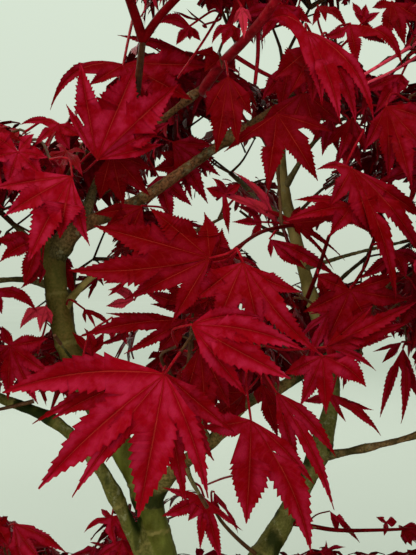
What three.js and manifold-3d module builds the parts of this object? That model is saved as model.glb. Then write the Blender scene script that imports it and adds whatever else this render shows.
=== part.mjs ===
// A Japanese maple bonsai: two stems from one root in a shallow oval pot, with masses of crimson
// palmate leaves. Millimetres, +Z up, origin at the centre of the pot's flat underside.
import * as THREE from "three";
import { mergeVertices } from "three/addons/utils/BufferGeometryUtils.js";
import Module from "manifold-3d";

const wasm = await Module();
wasm.setup();

// Driving dimensions of the pot and the soil
const POT_LENGTH = 300;
const POT_WIDTH = 216;
const POT_HEIGHT = 62;
const POT_WALL = 10;
const POT_FLOOR = 11;
const POT_SEGMENTS = 28;
const SOIL_TOP = 58;
const SOIL_EDGE = 52;
const ROOT_PLATE = 42;

// Gaps between pieces, the second where facets meet at a slant, and how far twigs and leaves keep
// from limbs and from other masses
const GAP = 0.3;
const CUT_GAP = 0.35;
const LIMB_CLEARANCE = 1.2;
const SPACE_MARGIN = 0.8;

// Slivers narrower than this are smoothed away where pieces join
const SLIVER = 0.2;

// The tree seen from the front: from this eye the view is open through the sky windows,
// ellipses on the plane y = 0 given as [centre x, centre z, half width, half height].
const EYE = new THREE.Vector3(4, -520, 323);
const SKY_WINDOWS = [
  [-112, 482, 76, 76],
  [-104, 224, 54, 27],
  [112, 213, 46, 22],
  [30, 206, 24, 30],
];

// Leaves: five lobes as [angle from the middle lobe, reach as a share of the leaf's length].
// The stalk's section is a triangle, and the blade is thickest where the stalk meets it.
const LEAF_LENGTH = 48;
const LEAF_THICKNESS = 1.1;
const LOBES = [
  [0, 1],
  [41, 0.93],
  [86, 0.7],
];
const NOTCH_REACH = 0.4;
const LOBE_SAG = 0.3;
const PETIOLE_LENGTH = 18;
const PETIOLE_RADIUS = 0.6;

// How leaves stand: the spacing of stalks along a shoot, the slope of the blades in degrees, how
// far a blade turns from its stalk at the first and at the last try, and the tightest fold allowed
const STALK_STEP = 4;
const DROOP = [12, 67];
const SWING = [50, 180];
const MOST_FOLD = 80;
const LEAF_TRIES = 60;
const LEAST_SIZE = 0.7;
const CROWN_AXIS = new THREE.Vector3(15, 10, 0);

// Leaf spacing: between blade middles, between lobes and whatever has grown, and how far lobes
// may reach past the shoots' own space
const LEAF_SPACING = 18;
const LEAF_CLEARANCE = 2.5;
const LEAF_STRETCH = 1.45;

// Twigs: the thinnest, how they thicken with the shoots they carry, how far apart shoots stand and
// how much of the space they fill, and how much a long way round counts against a fork
const TWIG_TIP_RADIUS = 1.7;
const TWIG_GROWTH = 0.25;
const STEM_LENGTH = 9;
const SHOOT_SPACING = 38;
const SHOOT_REACH = 0.72;
const SHOOT_MARGIN = 6;
const SHOOT_TRIES = 3000;
const PATH_WEIGHT = 0.35;

// Limbs thinner than this at the fork have young bark
const YOUNG_RADIUS = 3.5;

const BARK = { color: 0x4b4a1e, roughness: 0.7, metalness: 0 };
const YOUNG_BARK = { color: 0x5a4a2c, roughness: 0.75, metalness: 0 };
const LEAF_RED = { color: 0x8a0a18, roughness: 0.55, metalness: 0 };
const STONEWARE = { color: 0x5b5a55, roughness: 0.6, metalness: 0 };
const SOIL = { color: 0x3a2c20, roughness: 1, metalness: 0 };

// Limbs in the order they fork. A limb starts on its parent's middle line and is cut clear of
// every limb in cutBy. Points run from the fork to the tip, and radii from thick to thin.
const LIMBS = [
  {
    name: "trunk",
    points: [
      [0, 0, SOIL_TOP + GAP],
      [-1, 0, 82],
      [-4, -1, 112],
      [-13, -4, 150],
      [-24, -9, 193],
      [-30, -10, 215],
      [-57, -4, 260],
      [-72, 1, 292],
      [-80, 5, 338],
    ],
    sides: 15,
    steps: 26,
  },
  {
    name: "right_stem",
    cutBy: ["trunk"],
    points: [
      [-3, 0, 110],
      [13, 8, 139],
      [35, 20, 171],
      [53, 30, 198],
      [69, 35, 228],
    ],
    radii: [9.4, 5],
    sides: 10,
    steps: 9,
  },
  {
    name: "right_leader",
    cutBy: ["right_stem"],
    points: [
      [67, 34, 223],
      [75, 40, 262],
      [60, 47, 325],
      [47, 54, 385],
      [47, 48, 438],
    ],
    radii: [3.9, 2.4],
    sides: 8,
    steps: 12,
  },
  {
    name: "right_bough",
    cutBy: ["right_stem", "right_leader"],
    points: [
      [68, 34, 222],
      [92, 22, 229],
      [124, 8, 241],
      [158, 2, 262],
    ],
    radii: [3, 1.9],
    sides: 7,
    steps: 7,
  },
  {
    name: "knot_twig",
    cutBy: ["right_stem"],
    points: [
      [45, 26, 187],
      [60, 20, 186],
      [74, 16, 185],
    ],
    radii: [1.7, 1.2],
    sides: 5,
    steps: 3,
  },
  {
    name: "lower_left_bough",
    cutBy: ["trunk"],
    points: [
      [-15, -5, 150],
      [-32, -12, 184],
      [-42, -15, 207],
      [-53, -13, 226],
      [-77, -2, 247],
      [-108, 4, 259],
    ],
    radii: [5.2, 3],
    sides: 8,
    steps: 8,
  },
  {
    name: "inner_bough",
    cutBy: ["trunk"],
    points: [
      [-27, -10, 207],
      [-14, -22, 224],
      [8, -46, 246],
      [21, -50, 262],
      [41, -52, 272],
      [64, -55, 288],
    ],
    radii: [4.4, 2.3],
    sides: 8,
    steps: 8,
  },
  {
    name: "front_bough",
    cutBy: ["inner_bough"],
    points: [
      [4, -41, 241],
      [-2, -62, 262],
      [-4, -82, 278],
    ],
    radii: [2.4, 1.7],
    sides: 6,
    steps: 4,
  },
  {
    name: "fork_twig",
    cutBy: ["inner_bough"],
    points: [
      [-8, -29, 231],
      [-4, -42, 224],
      [0, -50, 219],
    ],
    radii: [1.5, 1.1],
    sides: 5,
    steps: 3,
  },
  {
    name: "front_left_bough",
    cutBy: ["trunk"],
    points: [
      [-49, -7, 247],
      [-56, -34, 272],
      [-64, -66, 292],
    ],
    radii: [2.6, 1.7],
    sides: 6,
    steps: 4,
  },
  {
    name: "side_bough",
    cutBy: ["trunk"],
    points: [
      [-75, 2, 303],
      [-65, 0, 316],
      [-54, -4, 325],
      [-38, -10, 328],
    ],
    radii: [2.3, 1.4],
    sides: 6,
    steps: 5,
  },
  {
    name: "upper_bough",
    cutBy: ["trunk"],
    points: [
      [-80, 5, 332],
      [-68, 2, 347],
      [-31, -8, 364],
      [8, -5, 391],
      [38, -14, 410],
    ],
    radii: [4.7, 2],
    sides: 8,
    steps: 9,
  },
  {
    name: "crown_bough",
    cutBy: ["upper_bough"],
    points: [
      [-62, 0, 352],
      [-54, 8, 378],
      [-32, 2, 397],
      [0, -20, 419],
    ],
    radii: [3, 2],
    sides: 7,
    steps: 6,
  },
  {
    name: "shoulder_bough",
    cutBy: ["trunk", "upper_bough"],
    points: [
      [-80, 5, 330],
      [-92, 4, 344],
      [-100, 0, 352],
    ],
    radii: [2.8, 1.9],
    sides: 6,
    steps: 3,
  },
  {
    name: "left_bough",
    cutBy: ["trunk"],
    points: [
      [-77, 4, 318],
      [-100, 16, 322],
      [-132, 18, 318],
    ],
    radii: [2.8, 1.8],
    sides: 6,
    steps: 4,
  },
  {
    name: "back_left_bough",
    cutBy: ["trunk"],
    points: [
      [-68, 0, 284],
      [-74, 32, 308],
      [-76, 62, 322],
    ],
    radii: [2.9, 1.9],
    sides: 6,
    steps: 4,
  },
  {
    name: "top_right_bough",
    cutBy: ["right_leader"],
    points: [
      [49, 53, 376],
      [66, 42, 402],
      [92, 26, 420],
    ],
    radii: [2.3, 1.6],
    sides: 6,
    steps: 4,
  },
  {
    name: "mid_right_bough",
    cutBy: ["right_leader"],
    points: [
      [59, 47, 328],
      [84, 26, 336],
      [108, 6, 342],
    ],
    radii: [2.5, 1.7],
    sides: 6,
    steps: 4,
  },
  {
    name: "back_right_bough",
    cutBy: ["right_leader"],
    points: [
      [67, 44, 304],
      [84, 70, 322],
      [98, 88, 332],
    ],
    radii: [2.6, 1.7],
    sides: 6,
    steps: 4,
  },
  {
    name: "back_bough",
    cutBy: ["right_leader"],
    points: [
      [54, 51, 352],
      [34, 80, 372],
      [22, 104, 386],
    ],
    radii: [2.4, 1.6],
    sides: 6,
    steps: 4,
  },
  {
    name: "back_low_bough",
    cutBy: ["right_leader"],
    points: [
      [74, 41, 270],
      [52, 76, 282],
      [28, 100, 290],
    ],
    radii: [2.6, 1.7],
    sides: 6,
    steps: 5,
  },
  {
    name: "low_left_bough",
    cutBy: ["trunk"],
    points: [
      [-7, -2, 122],
      [-42, 34, 122],
      [-78, 56, 122],
    ],
    radii: [4, 2],
    sides: 7,
    steps: 6,
  },
  {
    name: "low_right_bough",
    cutBy: ["right_stem", "trunk"],
    points: [
      [9, 6, 132],
      [50, 30, 126],
      [90, 46, 126],
    ],
    radii: [4, 2],
    sides: 7,
    steps: 6,
  },
  {
    name: "low_back_bough",
    cutBy: ["trunk", "right_stem", "low_right_bough", "low_left_bough"],
    points: [
      [-6, -2, 120],
      [0, 50, 126],
      [4, 88, 128],
    ],
    radii: [3.8, 2],
    sides: 7,
    steps: 6,
  },
];

// Masses of foliage: the bough that carries each, the middle and half sizes of its space, and
// how many shoots it may have
const MASSES = [
  { name: "apex", on: "right_leader", centre: [52, 24, 500], reach: [82, 80, 62], shoots: 12 },
  { name: "top_left", on: "crown_bough", centre: [6, -34, 446], reach: [56, 66, 54], shoots: 9 },
  { name: "top_right", on: "top_right_bough", centre: [126, 12, 442], reach: [74, 76, 60], shoots: 11 },
  { name: "crown_middle", on: "upper_bough", centre: [62, -48, 414], reach: [58, 60, 48], shoots: 8 },
  { name: "shoulder", on: "shoulder_bough", centre: [-98, -22, 376], reach: [58, 72, 48], shoots: 9 },
  { name: "left", on: "left_bough", centre: [-164, 16, 318], reach: [60, 70, 58], shoots: 10 },
  { name: "left_low", on: "lower_left_bough", centre: [-122, -8, 284], reach: [60, 70, 36], shoots: 7 },
  { name: "inner", on: "side_bough", centre: [-16, -14, 346], reach: [52, 52, 42], shoots: 7 },
  { name: "front_left", on: "front_left_bough", centre: [-66, -98, 306], reach: [60, 58, 54], shoots: 9 },
  { name: "front", on: "front_bough", centre: [2, -116, 302], reach: [54, 56, 56], shoots: 9 },
  { name: "front_right", on: "inner_bough", centre: [84, -90, 326], reach: [62, 60, 60], shoots: 10 },
  { name: "right", on: "mid_right_bough", centre: [148, -22, 350], reach: [66, 70, 58], shoots: 11 },
  { name: "right_low", on: "right_bough", centre: [184, 6, 286], reach: [54, 66, 46], shoots: 8 },
  { name: "back_left", on: "back_left_bough", centre: [-80, 102, 338], reach: [74, 62, 62], shoots: 12 },
  { name: "back", on: "back_bough", centre: [16, 128, 412], reach: [70, 60, 62], shoots: 11 },
  { name: "back_right", on: "back_right_bough", centre: [114, 112, 346], reach: [72, 64, 62], shoots: 12 },
  { name: "back_low", on: "back_low_bough", centre: [16, 130, 300], reach: [62, 54, 50], shoots: 8 },
  { name: "fork", on: "fork_twig", centre: [0, -64, 208], reach: [34, 32, 26], shoots: 3 },
  { name: "knot", on: "knot_twig", centre: [104, 8, 174], reach: [46, 36, 24], shoots: 4 },
  { name: "low_left", on: "low_left_bough", centre: [-112, 74, 134], reach: [70, 62, 42], shoots: 9 },
  { name: "low_right", on: "low_right_bough", centre: [118, 66, 134], reach: [66, 62, 42], shoots: 8 },
  { name: "low_back", on: "low_back_bough", centre: [6, 124, 134], reach: [62, 54, 44], shoots: 8 },
];

// Solids from three.js geometry, for the cuts and joins

function solidOf(geometry) {
  const bare = geometry.clone();
  bare.deleteAttribute("normal");
  bare.deleteAttribute("uv");
  const merged = mergeVertices(bare, 1e-4);
  return new wasm.Manifold(
    new wasm.Mesh({
      numProp: 3,
      vertProperties: merged.attributes.position.array,
      triVerts: new Uint32Array(merged.index.array),
    }),
  );
}

function polyhedron(vertices, faces) {
  const geometry = new THREE.BufferGeometry().setFromPoints(vertices);
  geometry.setIndex(faces.flat());
  return solidOf(geometry);
}

function geometryOf(solid) {
  const mesh = solid.getMesh();
  const geometry = new THREE.BufferGeometry();
  geometry.setAttribute("position", new THREE.BufferAttribute(new Float32Array(mesh.vertProperties), 3));
  geometry.setIndex(new THREE.BufferAttribute(new Uint32Array(mesh.triVerts), 1));
  return geometry;
}

// The largest closed body: loose scraps are dropped, and sealed hollows are filled. Rounding to
// 32 bits can pinch off another scrap, so the body is taken again until it stays whole.
function largestBody(solid) {
  let bodies = solid.decompose();
  let best = solid;
  while (bodies.length > 1) {
    best = bodies.reduce((most, body) => (body.volume() > most.volume() ? body : most));
    bodies = solidOf(geometryOf(best)).decompose();
  }
  return best;
}

// Seeded random numbers from 0 to 1

function seededRandom(seed) {
  let state = seed >>> 0;
  return () => {
    state = (state + 0x6d2b79f5) >>> 0;
    let mixed = Math.imul(state ^ (state >>> 15), state | 1);
    mixed ^= mixed + Math.imul(mixed ^ (mixed >>> 7), mixed | 61);
    return ((mixed ^ (mixed >>> 14)) >>> 0) / 4294967296;
  };
}

// The pot and its soil, each turned from a profile and drawn out into an oval

function oval(profile) {
  const points = profile.map(([radius, height]) => new THREE.Vector2(radius, height));
  const geometry = new THREE.LatheGeometry(points, POT_SEGMENTS);
  geometry.rotateX(Math.PI / 2);
  geometry.scale(1, POT_WIDTH / POT_LENGTH, 1);
  return geometryOf(solidOf(geometry));
}

function potGeometry() {
  const rim = POT_LENGTH / 2;
  const inner = rim - POT_WALL;
  return oval([
    [0, 0],
    [rim - 29, 0],
    [rim - 22, 12],
    [rim - 13, 34],
    [rim - 7, POT_HEIGHT - 11],
    [rim, POT_HEIGHT - 8],
    [rim, POT_HEIGHT - 2],
    [rim - 2, POT_HEIGHT],
    [inner, POT_HEIGHT],
    [inner - 4, POT_HEIGHT - 12],
    [inner - 12, 30],
    [inner - 26, POT_FLOOR],
    [0, POT_FLOOR],
  ]);
}

function soilGeometry() {
  const inner = POT_LENGTH / 2 - POT_WALL - GAP * 1.6;
  return oval([
    [0, POT_FLOOR + GAP],
    [inner - 26.2, POT_FLOOR + GAP],
    [inner - 12, 30],
    [inner - 3.8, SOIL_EDGE],
    [(inner + ROOT_PLATE) / 2, SOIL_EDGE + 3.5],
    [ROOT_PLATE, SOIL_TOP],
    [0, SOIL_TOP],
  ]);
}

// Limbs: tubes along curves, with a radius for each ring

function limbNamed(name) {
  return LIMBS.find((limb) => limb.name === name);
}

function limbCurve(limb) {
  return new THREE.CatmullRomCurve3(
    limb.points.map((point) => new THREE.Vector3(...point)),
    false,
    "centripetal",
  );
}

function trunkRadius(height) {
  const taper = 5.6 + 10.5 * Math.exp(-height / 80);
  const belowFork = 3 / (1 + Math.exp((height - 62) / 9));
  const rootFlare = 8 * Math.exp(-height / 12);
  return taper + belowFork + rootFlare;
}

// Surface roots stand out as five ridges that fade up the trunk.
function rootRidge(angle, height) {
  return 1 + 0.2 * Math.exp(-height / 14) * Math.cos(5 * angle + 0.7);
}

function limbRadius(limb, share, height) {
  if (limb.name === "trunk") return trunkRadius(height);
  return THREE.MathUtils.lerp(limb.radii[0], limb.radii[1], share ** 0.8);
}

// A closed tube: one ring of vertices round each centre, turned as little as possible
// from ring to ring.
function tubeSolid(centres, sides, radiusAt, firstDirection) {
  const vertices = [];
  const faces = [];
  const last = centres.length - 1;
  const normal = new THREE.Vector3(1, 0, 0);
  for (let i = 0; i <= last; i++) {
    const before = centres[Math.max(i - 1, 0)];
    const after = centres[Math.min(i + 1, last)];
    const direction = i === 0 && firstDirection ? firstDirection : after.clone().sub(before).normalize();
    if (i === 0 && Math.abs(normal.dot(direction)) > 0.9) normal.set(0, 1, 0);
    normal.addScaledVector(direction, -normal.dot(direction)).normalize();
    const across = direction.clone().cross(normal);
    for (let k = 0; k < sides; k++) {
      const turn = (2 * Math.PI * k) / sides;
      const radius = radiusAt(i, turn);
      vertices.push(
        centres[i]
          .clone()
          .addScaledVector(normal, radius * Math.cos(turn))
          .addScaledVector(across, radius * Math.sin(turn)),
      );
    }
  }
  vertices.push(centres[0].clone(), centres[last].clone());
  const bottom = vertices.length - 2;
  const top = vertices.length - 1;
  for (let k = 0; k < sides; k++) {
    const next = (k + 1) % sides;
    for (let i = 0; i < last; i++) {
      const ring = i * sides;
      faces.push([ring + k, ring + next, ring + sides + k]);
      faces.push([ring + next, ring + sides + next, ring + sides + k]);
    }
    faces.push([bottom, next, k]);
    faces.push([top, last * sides + k, last * sides + next]);
  }
  return polyhedron(vertices, faces);
}

// A limb's solid, fattened all round and at its tip by extra
function limbSolid(limb, extra) {
  const curve = limbCurve(limb);
  const centres = curve.getSpacedPoints(limb.steps);
  centres[limb.steps].addScaledVector(curve.getTangent(1), extra);
  const isTrunk = limb.name === "trunk";
  const radiusAt = (step, turn) => {
    const height = centres[step].z - SOIL_TOP;
    const ridge = isTrunk ? rootRidge(turn, height) : 1;
    return limbRadius(limb, step / limb.steps, height) * ridge + extra;
  };
  return tubeSolid(centres, limb.sides, radiusAt, isTrunk ? new THREE.Vector3(0, 0, 1) : null);
}

function limbAxis(limb) {
  const samples = 2 * limb.steps;
  return limbCurve(limb)
    .getSpacedPoints(samples)
    .map((point, i) => ({
      point,
      radius: limbRadius(limb, i / samples, point.z - SOIL_TOP),
    }));
}

// Shortest distance between the segments a-b and c-d
function segmentGap(a, b, c, d) {
  const u = b.clone().sub(a);
  const v = d.clone().sub(c);
  const w = a.clone().sub(c);
  const uu = u.dot(u);
  const uv = u.dot(v);
  const vv = v.dot(v);
  const uw = u.dot(w);
  const vw = v.dot(w);
  const spread = uu * vv - uv * uv;
  let s = spread > 1e-9 ? THREE.MathUtils.clamp((uv * vw - vv * uw) / spread, 0, 1) : 0;
  const t = THREE.MathUtils.clamp((uv * s + vw) / Math.max(vv, 1e-9), 0, 1);
  s = THREE.MathUtils.clamp((uv * t - uw) / Math.max(uu, 1e-9), 0, 1);
  return w.addScaledVector(u, s).addScaledVector(v, -t).length();
}

const axes = LIMBS.map(limbAxis);

function clearOfLimbs(a, b, radius) {
  for (const axis of axes) {
    for (let i = 1; i < axis.length; i++) {
      const keep = axis[i - 1].radius * 1.15 + radius + LIMB_CLEARANCE;
      const reach = a.distanceTo(b) + axis[i].point.distanceTo(axis[i - 1].point) + keep;
      if (a.distanceTo(axis[i].point) > reach) continue;
      if (segmentGap(a, b, axis[i - 1].point, axis[i].point) < keep) return false;
    }
  }
  return true;
}

// A mass's own space: nearer to its middle than to any other mass's, within its reach,
// and out of the sky windows

function inSkyWindow(point) {
  const share = -EYE.y / (point.y - EYE.y);
  const x = EYE.x + (point.x - EYE.x) * share;
  const z = EYE.z + (point.z - EYE.z) * share;
  return SKY_WINDOWS.some(
    ([cx, cz, halfWidth, halfHeight]) => ((x - cx) / halfWidth) ** 2 + ((z - cz) / halfHeight) ** 2 < 1,
  );
}

function inSpace(point, mass, stretch, margin) {
  const [cx, cy, cz] = mass.centre;
  const [rx, ry, rz] = mass.reach;
  const out = ((point.x - cx) / rx) ** 2 + ((point.y - cy) / ry) ** 2 + ((point.z - cz) / rz) ** 2;
  if (out > stretch * stretch || inSkyWindow(point)) return false;
  const own = new THREE.Vector3(cx, cy, cz);
  return MASSES.every((other) => {
    if (other === mass) return true;
    const away = new THREE.Vector3(...other.centre).sub(own);
    const past = point.clone().sub(own).dot(away) / away.length() - away.length() / 2;
    return past < -margin;
  });
}

// Twigs: each new shoot grows from the nearest fork, and a long way round counts against a fork.

function growTwigs(mass, index) {
  const random = seededRandom(1000 + 37 * index);
  const limb = limbNamed(mass.on);
  const curve = limbCurve(limb);
  const tip = curve.getPoint(1);
  const heading = curve.getTangent(1);
  const start = tip.clone().addScaledVector(heading, CUT_GAP);
  const first = tip.clone().addScaledVector(heading, STEM_LENGTH);
  const nodes = [
    { point: start, parent: -1, path: 0, load: 0 },
    { point: first, parent: 0, path: STEM_LENGTH, load: 0 },
  ];
  const ends = [];
  for (let tries = 0; tries < SHOOT_TRIES && ends.length < mass.shoots; tries++) {
    const turn = 2 * Math.PI * random();
    const rise = 2 * random() - 1;
    const out = SHOOT_REACH * random() ** 0.45;
    const flat = Math.sqrt(1 - rise * rise);
    const point = new THREE.Vector3(flat * Math.cos(turn), flat * Math.sin(turn), rise)
      .multiplyScalar(out)
      .multiply(new THREE.Vector3(...mass.reach))
      .add(new THREE.Vector3(...mass.centre));
    const crowded = ends.some((end) => end.distanceTo(point) < SHOOT_SPACING);
    if (!crowded && inSpace(point, mass, 1, SHOOT_MARGIN)) ends.push(point);
  }
  ends.sort((a, b) => a.distanceTo(first) - b.distanceTo(first));
  for (const point of ends) {
    let best = -1;
    let bestCost = Infinity;
    for (let i = 1; i < nodes.length; i++) {
      const node = nodes[i];
      const cost = node.point.distanceTo(point) + PATH_WEIGHT * node.path;
      if (cost < bestCost && clearOfLimbs(node.point, point, TWIG_TIP_RADIUS)) {
        best = i;
        bestCost = cost;
      }
    }
    if (best < 0) continue;
    const length = nodes[best].point.distanceTo(point);
    nodes.push({ point, parent: best, path: nodes[best].path + length, load: 0 });
  }
  for (let i = nodes.length - 1; i > 0; i--) {
    nodes[i].load += 1;
    nodes[nodes[i].parent].load += nodes[i].load;
  }
  return { nodes, random, stemRadius: limb.radii[1] };
}

function twigRadius(load, stemRadius) {
  return Math.min(TWIG_TIP_RADIUS * load ** TWIG_GROWTH, stemRadius);
}

// Each chain of twigs runs on from a fork to the end of its heaviest side.
function twigChains(nodes) {
  const children = nodes.map(() => []);
  nodes.forEach((node, i) => {
    if (node.parent >= 0) children[node.parent].push(i);
  });
  const chains = [];
  const follow = (chain) => {
    chains.push(chain);
    for (let i = chain[chain.length - 1]; children[i].length > 0; i = chain[chain.length - 1]) {
      const [main, ...others] = children[i].sort((a, b) => nodes[b].load - nodes[a].load);
      chain.push(main);
      for (const other of others) follow([i, other]);
    }
  };
  follow([0]);
  return chains;
}

function chainSolid(nodes, chain, stemRadius) {
  const end = nodes[chain[chain.length - 1]];
  const centres = chain.map((i) => nodes[i].point);
  const past = end.point.clone().sub(nodes[end.parent].point).setLength(TWIG_TIP_RADIUS);
  centres.push(end.point.clone().add(past));
  const radii = chain.map((i, k) => twigRadius(nodes[k === 0 && i > 0 ? chain[1] : i].load, stemRadius));
  radii.push(TWIG_TIP_RADIUS * 0.8);
  return tubeSolid(centres, 3, (step) => radii[step]);
}

// One leaf and its stalk as a single closed shape. The blade is thickest at the stalk.

function leafFrame(root, stalk, heading) {
  const base = root.clone().add(stalk);
  const forward = heading.clone().normalize();
  const pull = stalk.clone().normalize();
  const up = pull
    .clone()
    .addScaledVector(forward, -pull.dot(forward))
    .normalize();
  const side = forward.clone().cross(up);
  return { root, base, forward, up, side, pull };
}

function leafOutline(frame, length) {
  const outline = [];
  const put = (degrees, share) => {
    const angle = THREE.MathUtils.degToRad(degrees);
    const reach = length * share;
    outline.push(
      frame.base
        .clone()
        .addScaledVector(frame.forward, reach * Math.cos(angle))
        .addScaledVector(frame.side, reach * Math.sin(angle))
        .addScaledVector(frame.up, -LOBE_SAG * length * share * share),
    );
  };
  for (let i = LOBES.length - 1; i > 0; i--) {
    put(-LOBES[i][0], LOBES[i][1]);
    put(-(LOBES[i][0] + LOBES[i - 1][0]) / 2, NOTCH_REACH);
  }
  put(0, LOBES[0][1]);
  for (let i = 1; i < LOBES.length; i++) {
    put((LOBES[i][0] + LOBES[i - 1][0]) / 2, NOTCH_REACH);
    put(LOBES[i][0], LOBES[i][1]);
  }
  return outline;
}

function leafSolid(frame, outline, length) {
  const { root, base, forward, up, side, pull } = frame;
  const below = side.clone().cross(pull).normalize();
  const middle = base.clone().addScaledVector(forward, 0.1 * length);
  const corners = [
    base.clone().addScaledVector(side, -PETIOLE_RADIUS),
    base.clone().addScaledVector(side, PETIOLE_RADIUS),
    base.clone().addScaledVector(below, -1.5 * PETIOLE_RADIUS),
  ];
  const back = root.clone().sub(base);
  const vertices = [
    middle.clone().addScaledVector(up, LEAF_THICKNESS),
    middle.clone().addScaledVector(up, -LEAF_THICKNESS),
    ...corners,
    ...corners.map((corner) => corner.clone().add(back)),
    ...outline,
  ];
  const faces = [
    [0, 2, 3],
    [1, 3, 4],
    [1, 4, 2],
    [5, 7, 6],
  ];
  const edge = [2, ...outline.map((_, i) => 8 + i), 3];
  for (let i = 1; i < edge.length; i++) {
    faces.push([0, edge[i], edge[i - 1]]);
    faces.push([1, edge[i - 1], edge[i]]);
  }
  for (const [a, b] of [
    [2, 3],
    [3, 4],
    [4, 2],
  ]) {
    faces.push([a, a + 3, b]);
    faces.push([b, a + 3, b + 3]);
  }
  return polyhedron(vertices, faces);
}

// A leaf is skipped if it would leave the mass's space, touch a limb or run into what has grown.

function spokesOf(frame, outline) {
  return outline.filter((_, i) => i % 2 === 0).map((tip) => [frame.base, tip]);
}

function leafFits(frame, outline, mass, grown) {
  const { root, base } = frame;
  const middle = base.clone().addScaledVector(frame.forward, 0.4 * LEAF_LENGTH);
  if (grown.middles.some((other) => other.distanceTo(middle) < LEAF_SPACING)) return false;
  if (![base, ...outline].every((point) => inSpace(point, mass, LEAF_STRETCH, SPACE_MARGIN))) return false;
  if (!clearOfLimbs(root, base, PETIOLE_RADIUS)) return false;
  const clearRim = outline.every((point, i) => {
    const next = outline[Math.min(i + 1, outline.length - 1)];
    return clearOfLimbs(base, point, LEAF_THICKNESS) && clearOfLimbs(point, next, LEAF_THICKNESS);
  });
  if (!clearRim) return false;
  const spokes = spokesOf(frame, outline);
  const crosses = (ours, theirs) =>
    ours.some(([a, b]) => theirs.some(([c, d]) => segmentGap(a, b, c, d) < LEAF_CLEARANCE));
  if (crosses(spokes, grown.blades) || crosses(spokes, grown.stalks)) return false;
  if (crosses([[root, base]], grown.blades)) return false;
  grown.middles.push(middle);
  grown.blades.push(...spokes);
  grown.stalks.push([root, base]);
  return true;
}

// A pair of leaves stands on opposite sides of each shoot, with a third at a shoot's end. They are
// held out on their stalks and hang. Each further try folds the leaf round and makes it smaller.

function leavesAt(node, parent, mass, random, grown) {
  const shoot = node.point.clone().sub(parent.point).normalize();
  const fromMiddle = node.point.clone().sub(new THREE.Vector3(...mass.centre));
  const fromAxis = node.point.clone().sub(CROWN_AXIS);
  const outward = fromMiddle.setZ(0).normalize().add(fromAxis.setZ(0).normalize()).normalize();
  const level = new THREE.Vector3(-shoot.y, shoot.x, 0);
  if (level.length() < 0.2) level.set(-outward.y, outward.x, 0);
  level.normalize();
  const leaves = [];
  const hands = node.load === 1 ? [-1, 1, 0] : [-1, 1];
  hands.forEach((hand, order) => {
    const root = node.point.clone().addScaledVector(shoot, hand === 0 ? 0 : -STALK_STEP * (1 + order));
    for (let attempt = 0; attempt < LEAF_TRIES; attempt++) {
      const loose = attempt / LEAF_TRIES;
      const stalk = shoot
        .clone()
        .multiplyScalar(0.5)
        .addScaledVector(level, hand * (0.6 + 0.5 * random()))
        .addScaledVector(outward, 0.4)
        .add(new THREE.Vector3(0, 0, 0.6 * random() - 0.1))
        .setLength(PETIOLE_LENGTH * (0.75 + 0.5 * random()));
      const droop = THREE.MathUtils.degToRad(THREE.MathUtils.lerp(DROOP[0], DROOP[1], random()));
      const swing = THREE.MathUtils.degToRad(THREE.MathUtils.lerp(SWING[0], SWING[1], loose));
      const course = Math.atan2(stalk.y, stalk.x) + swing * (2 * random() - 1);
      const heading = new THREE.Vector3(
        Math.cos(course) * Math.cos(droop),
        Math.sin(course) * Math.cos(droop),
        -Math.sin(droop),
      );
      if (stalk.angleTo(heading) > THREE.MathUtils.degToRad(MOST_FOLD)) continue;
      const size = THREE.MathUtils.lerp(1, LEAST_SIZE, loose) * (0.9 + 0.25 * random());
      const length = LEAF_LENGTH * size;
      const frame = leafFrame(root, stalk, heading);
      const outline = leafOutline(frame, length);
      if (!leafFits(frame, outline, mass, grown)) continue;
      leaves.push(leafSolid(frame, outline, length));
      break;
    }
  });
  return leaves;
}

function massSolid(mass, index) {
  const { nodes, random, stemRadius } = growTwigs(mass, index);
  const twigs = nodes.slice(1).map((node) => [nodes[node.parent].point, node.point]);
  const grown = { middles: [], blades: [], stalks: twigs };
  const pieces = twigChains(nodes).map((chain) => chainSolid(nodes, chain, stemRadius));
  for (const node of nodes.slice(2)) {
    pieces.push(...leavesAt(node, nodes[node.parent], mass, random, grown));
  }
  return largestBody(wasm.Manifold.union(pieces).asOriginal().simplify(SLIVER));
}

// The whole plant

const bonsai = new THREE.Group();

function addPiece(name, geometry, finish) {
  const mesh = new THREE.Mesh(geometry, new THREE.MeshStandardMaterial(finish));
  mesh.name = name;
  bonsai.add(mesh);
}

addPiece("pot", potGeometry(), STONEWARE);
addPiece("soil", soilGeometry(), SOIL);

for (const limb of LIMBS) {
  const cutters = (limb.cutBy ?? []).map((name) => limbSolid(limbNamed(name), CUT_GAP));
  const whole = limbSolid(limb, 0);
  const cut = cutters.length ? whole.subtract(wasm.Manifold.union(cutters)) : whole;
  const isYoung = limb.radii && limb.radii[0] < YOUNG_RADIUS;
  addPiece(limb.name, geometryOf(largestBody(cut)), isYoung ? YOUNG_BARK : BARK);
}

MASSES.forEach((mass, index) => {
  addPiece(`leaves_${mass.name}`, geometryOf(massSolid(mass, index)), LEAF_RED);
});

export default bonsai;
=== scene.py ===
# %% [markdown]
# # A potted Japanese maple in red spring leaf
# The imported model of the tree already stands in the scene: it has the right size and the right
# limbs, but its bark is faceted and its leaves are few. This lesson dresses it. The bark is made
# anew with its relief, the twigs are grown on to their fine ends, and each leaf gets its lobes,
# teeth and veins.

# %% Load the frame
import math

import bpy
import numpy as np
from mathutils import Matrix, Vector, noise
from mathutils.kdtree import KDTree


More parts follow.
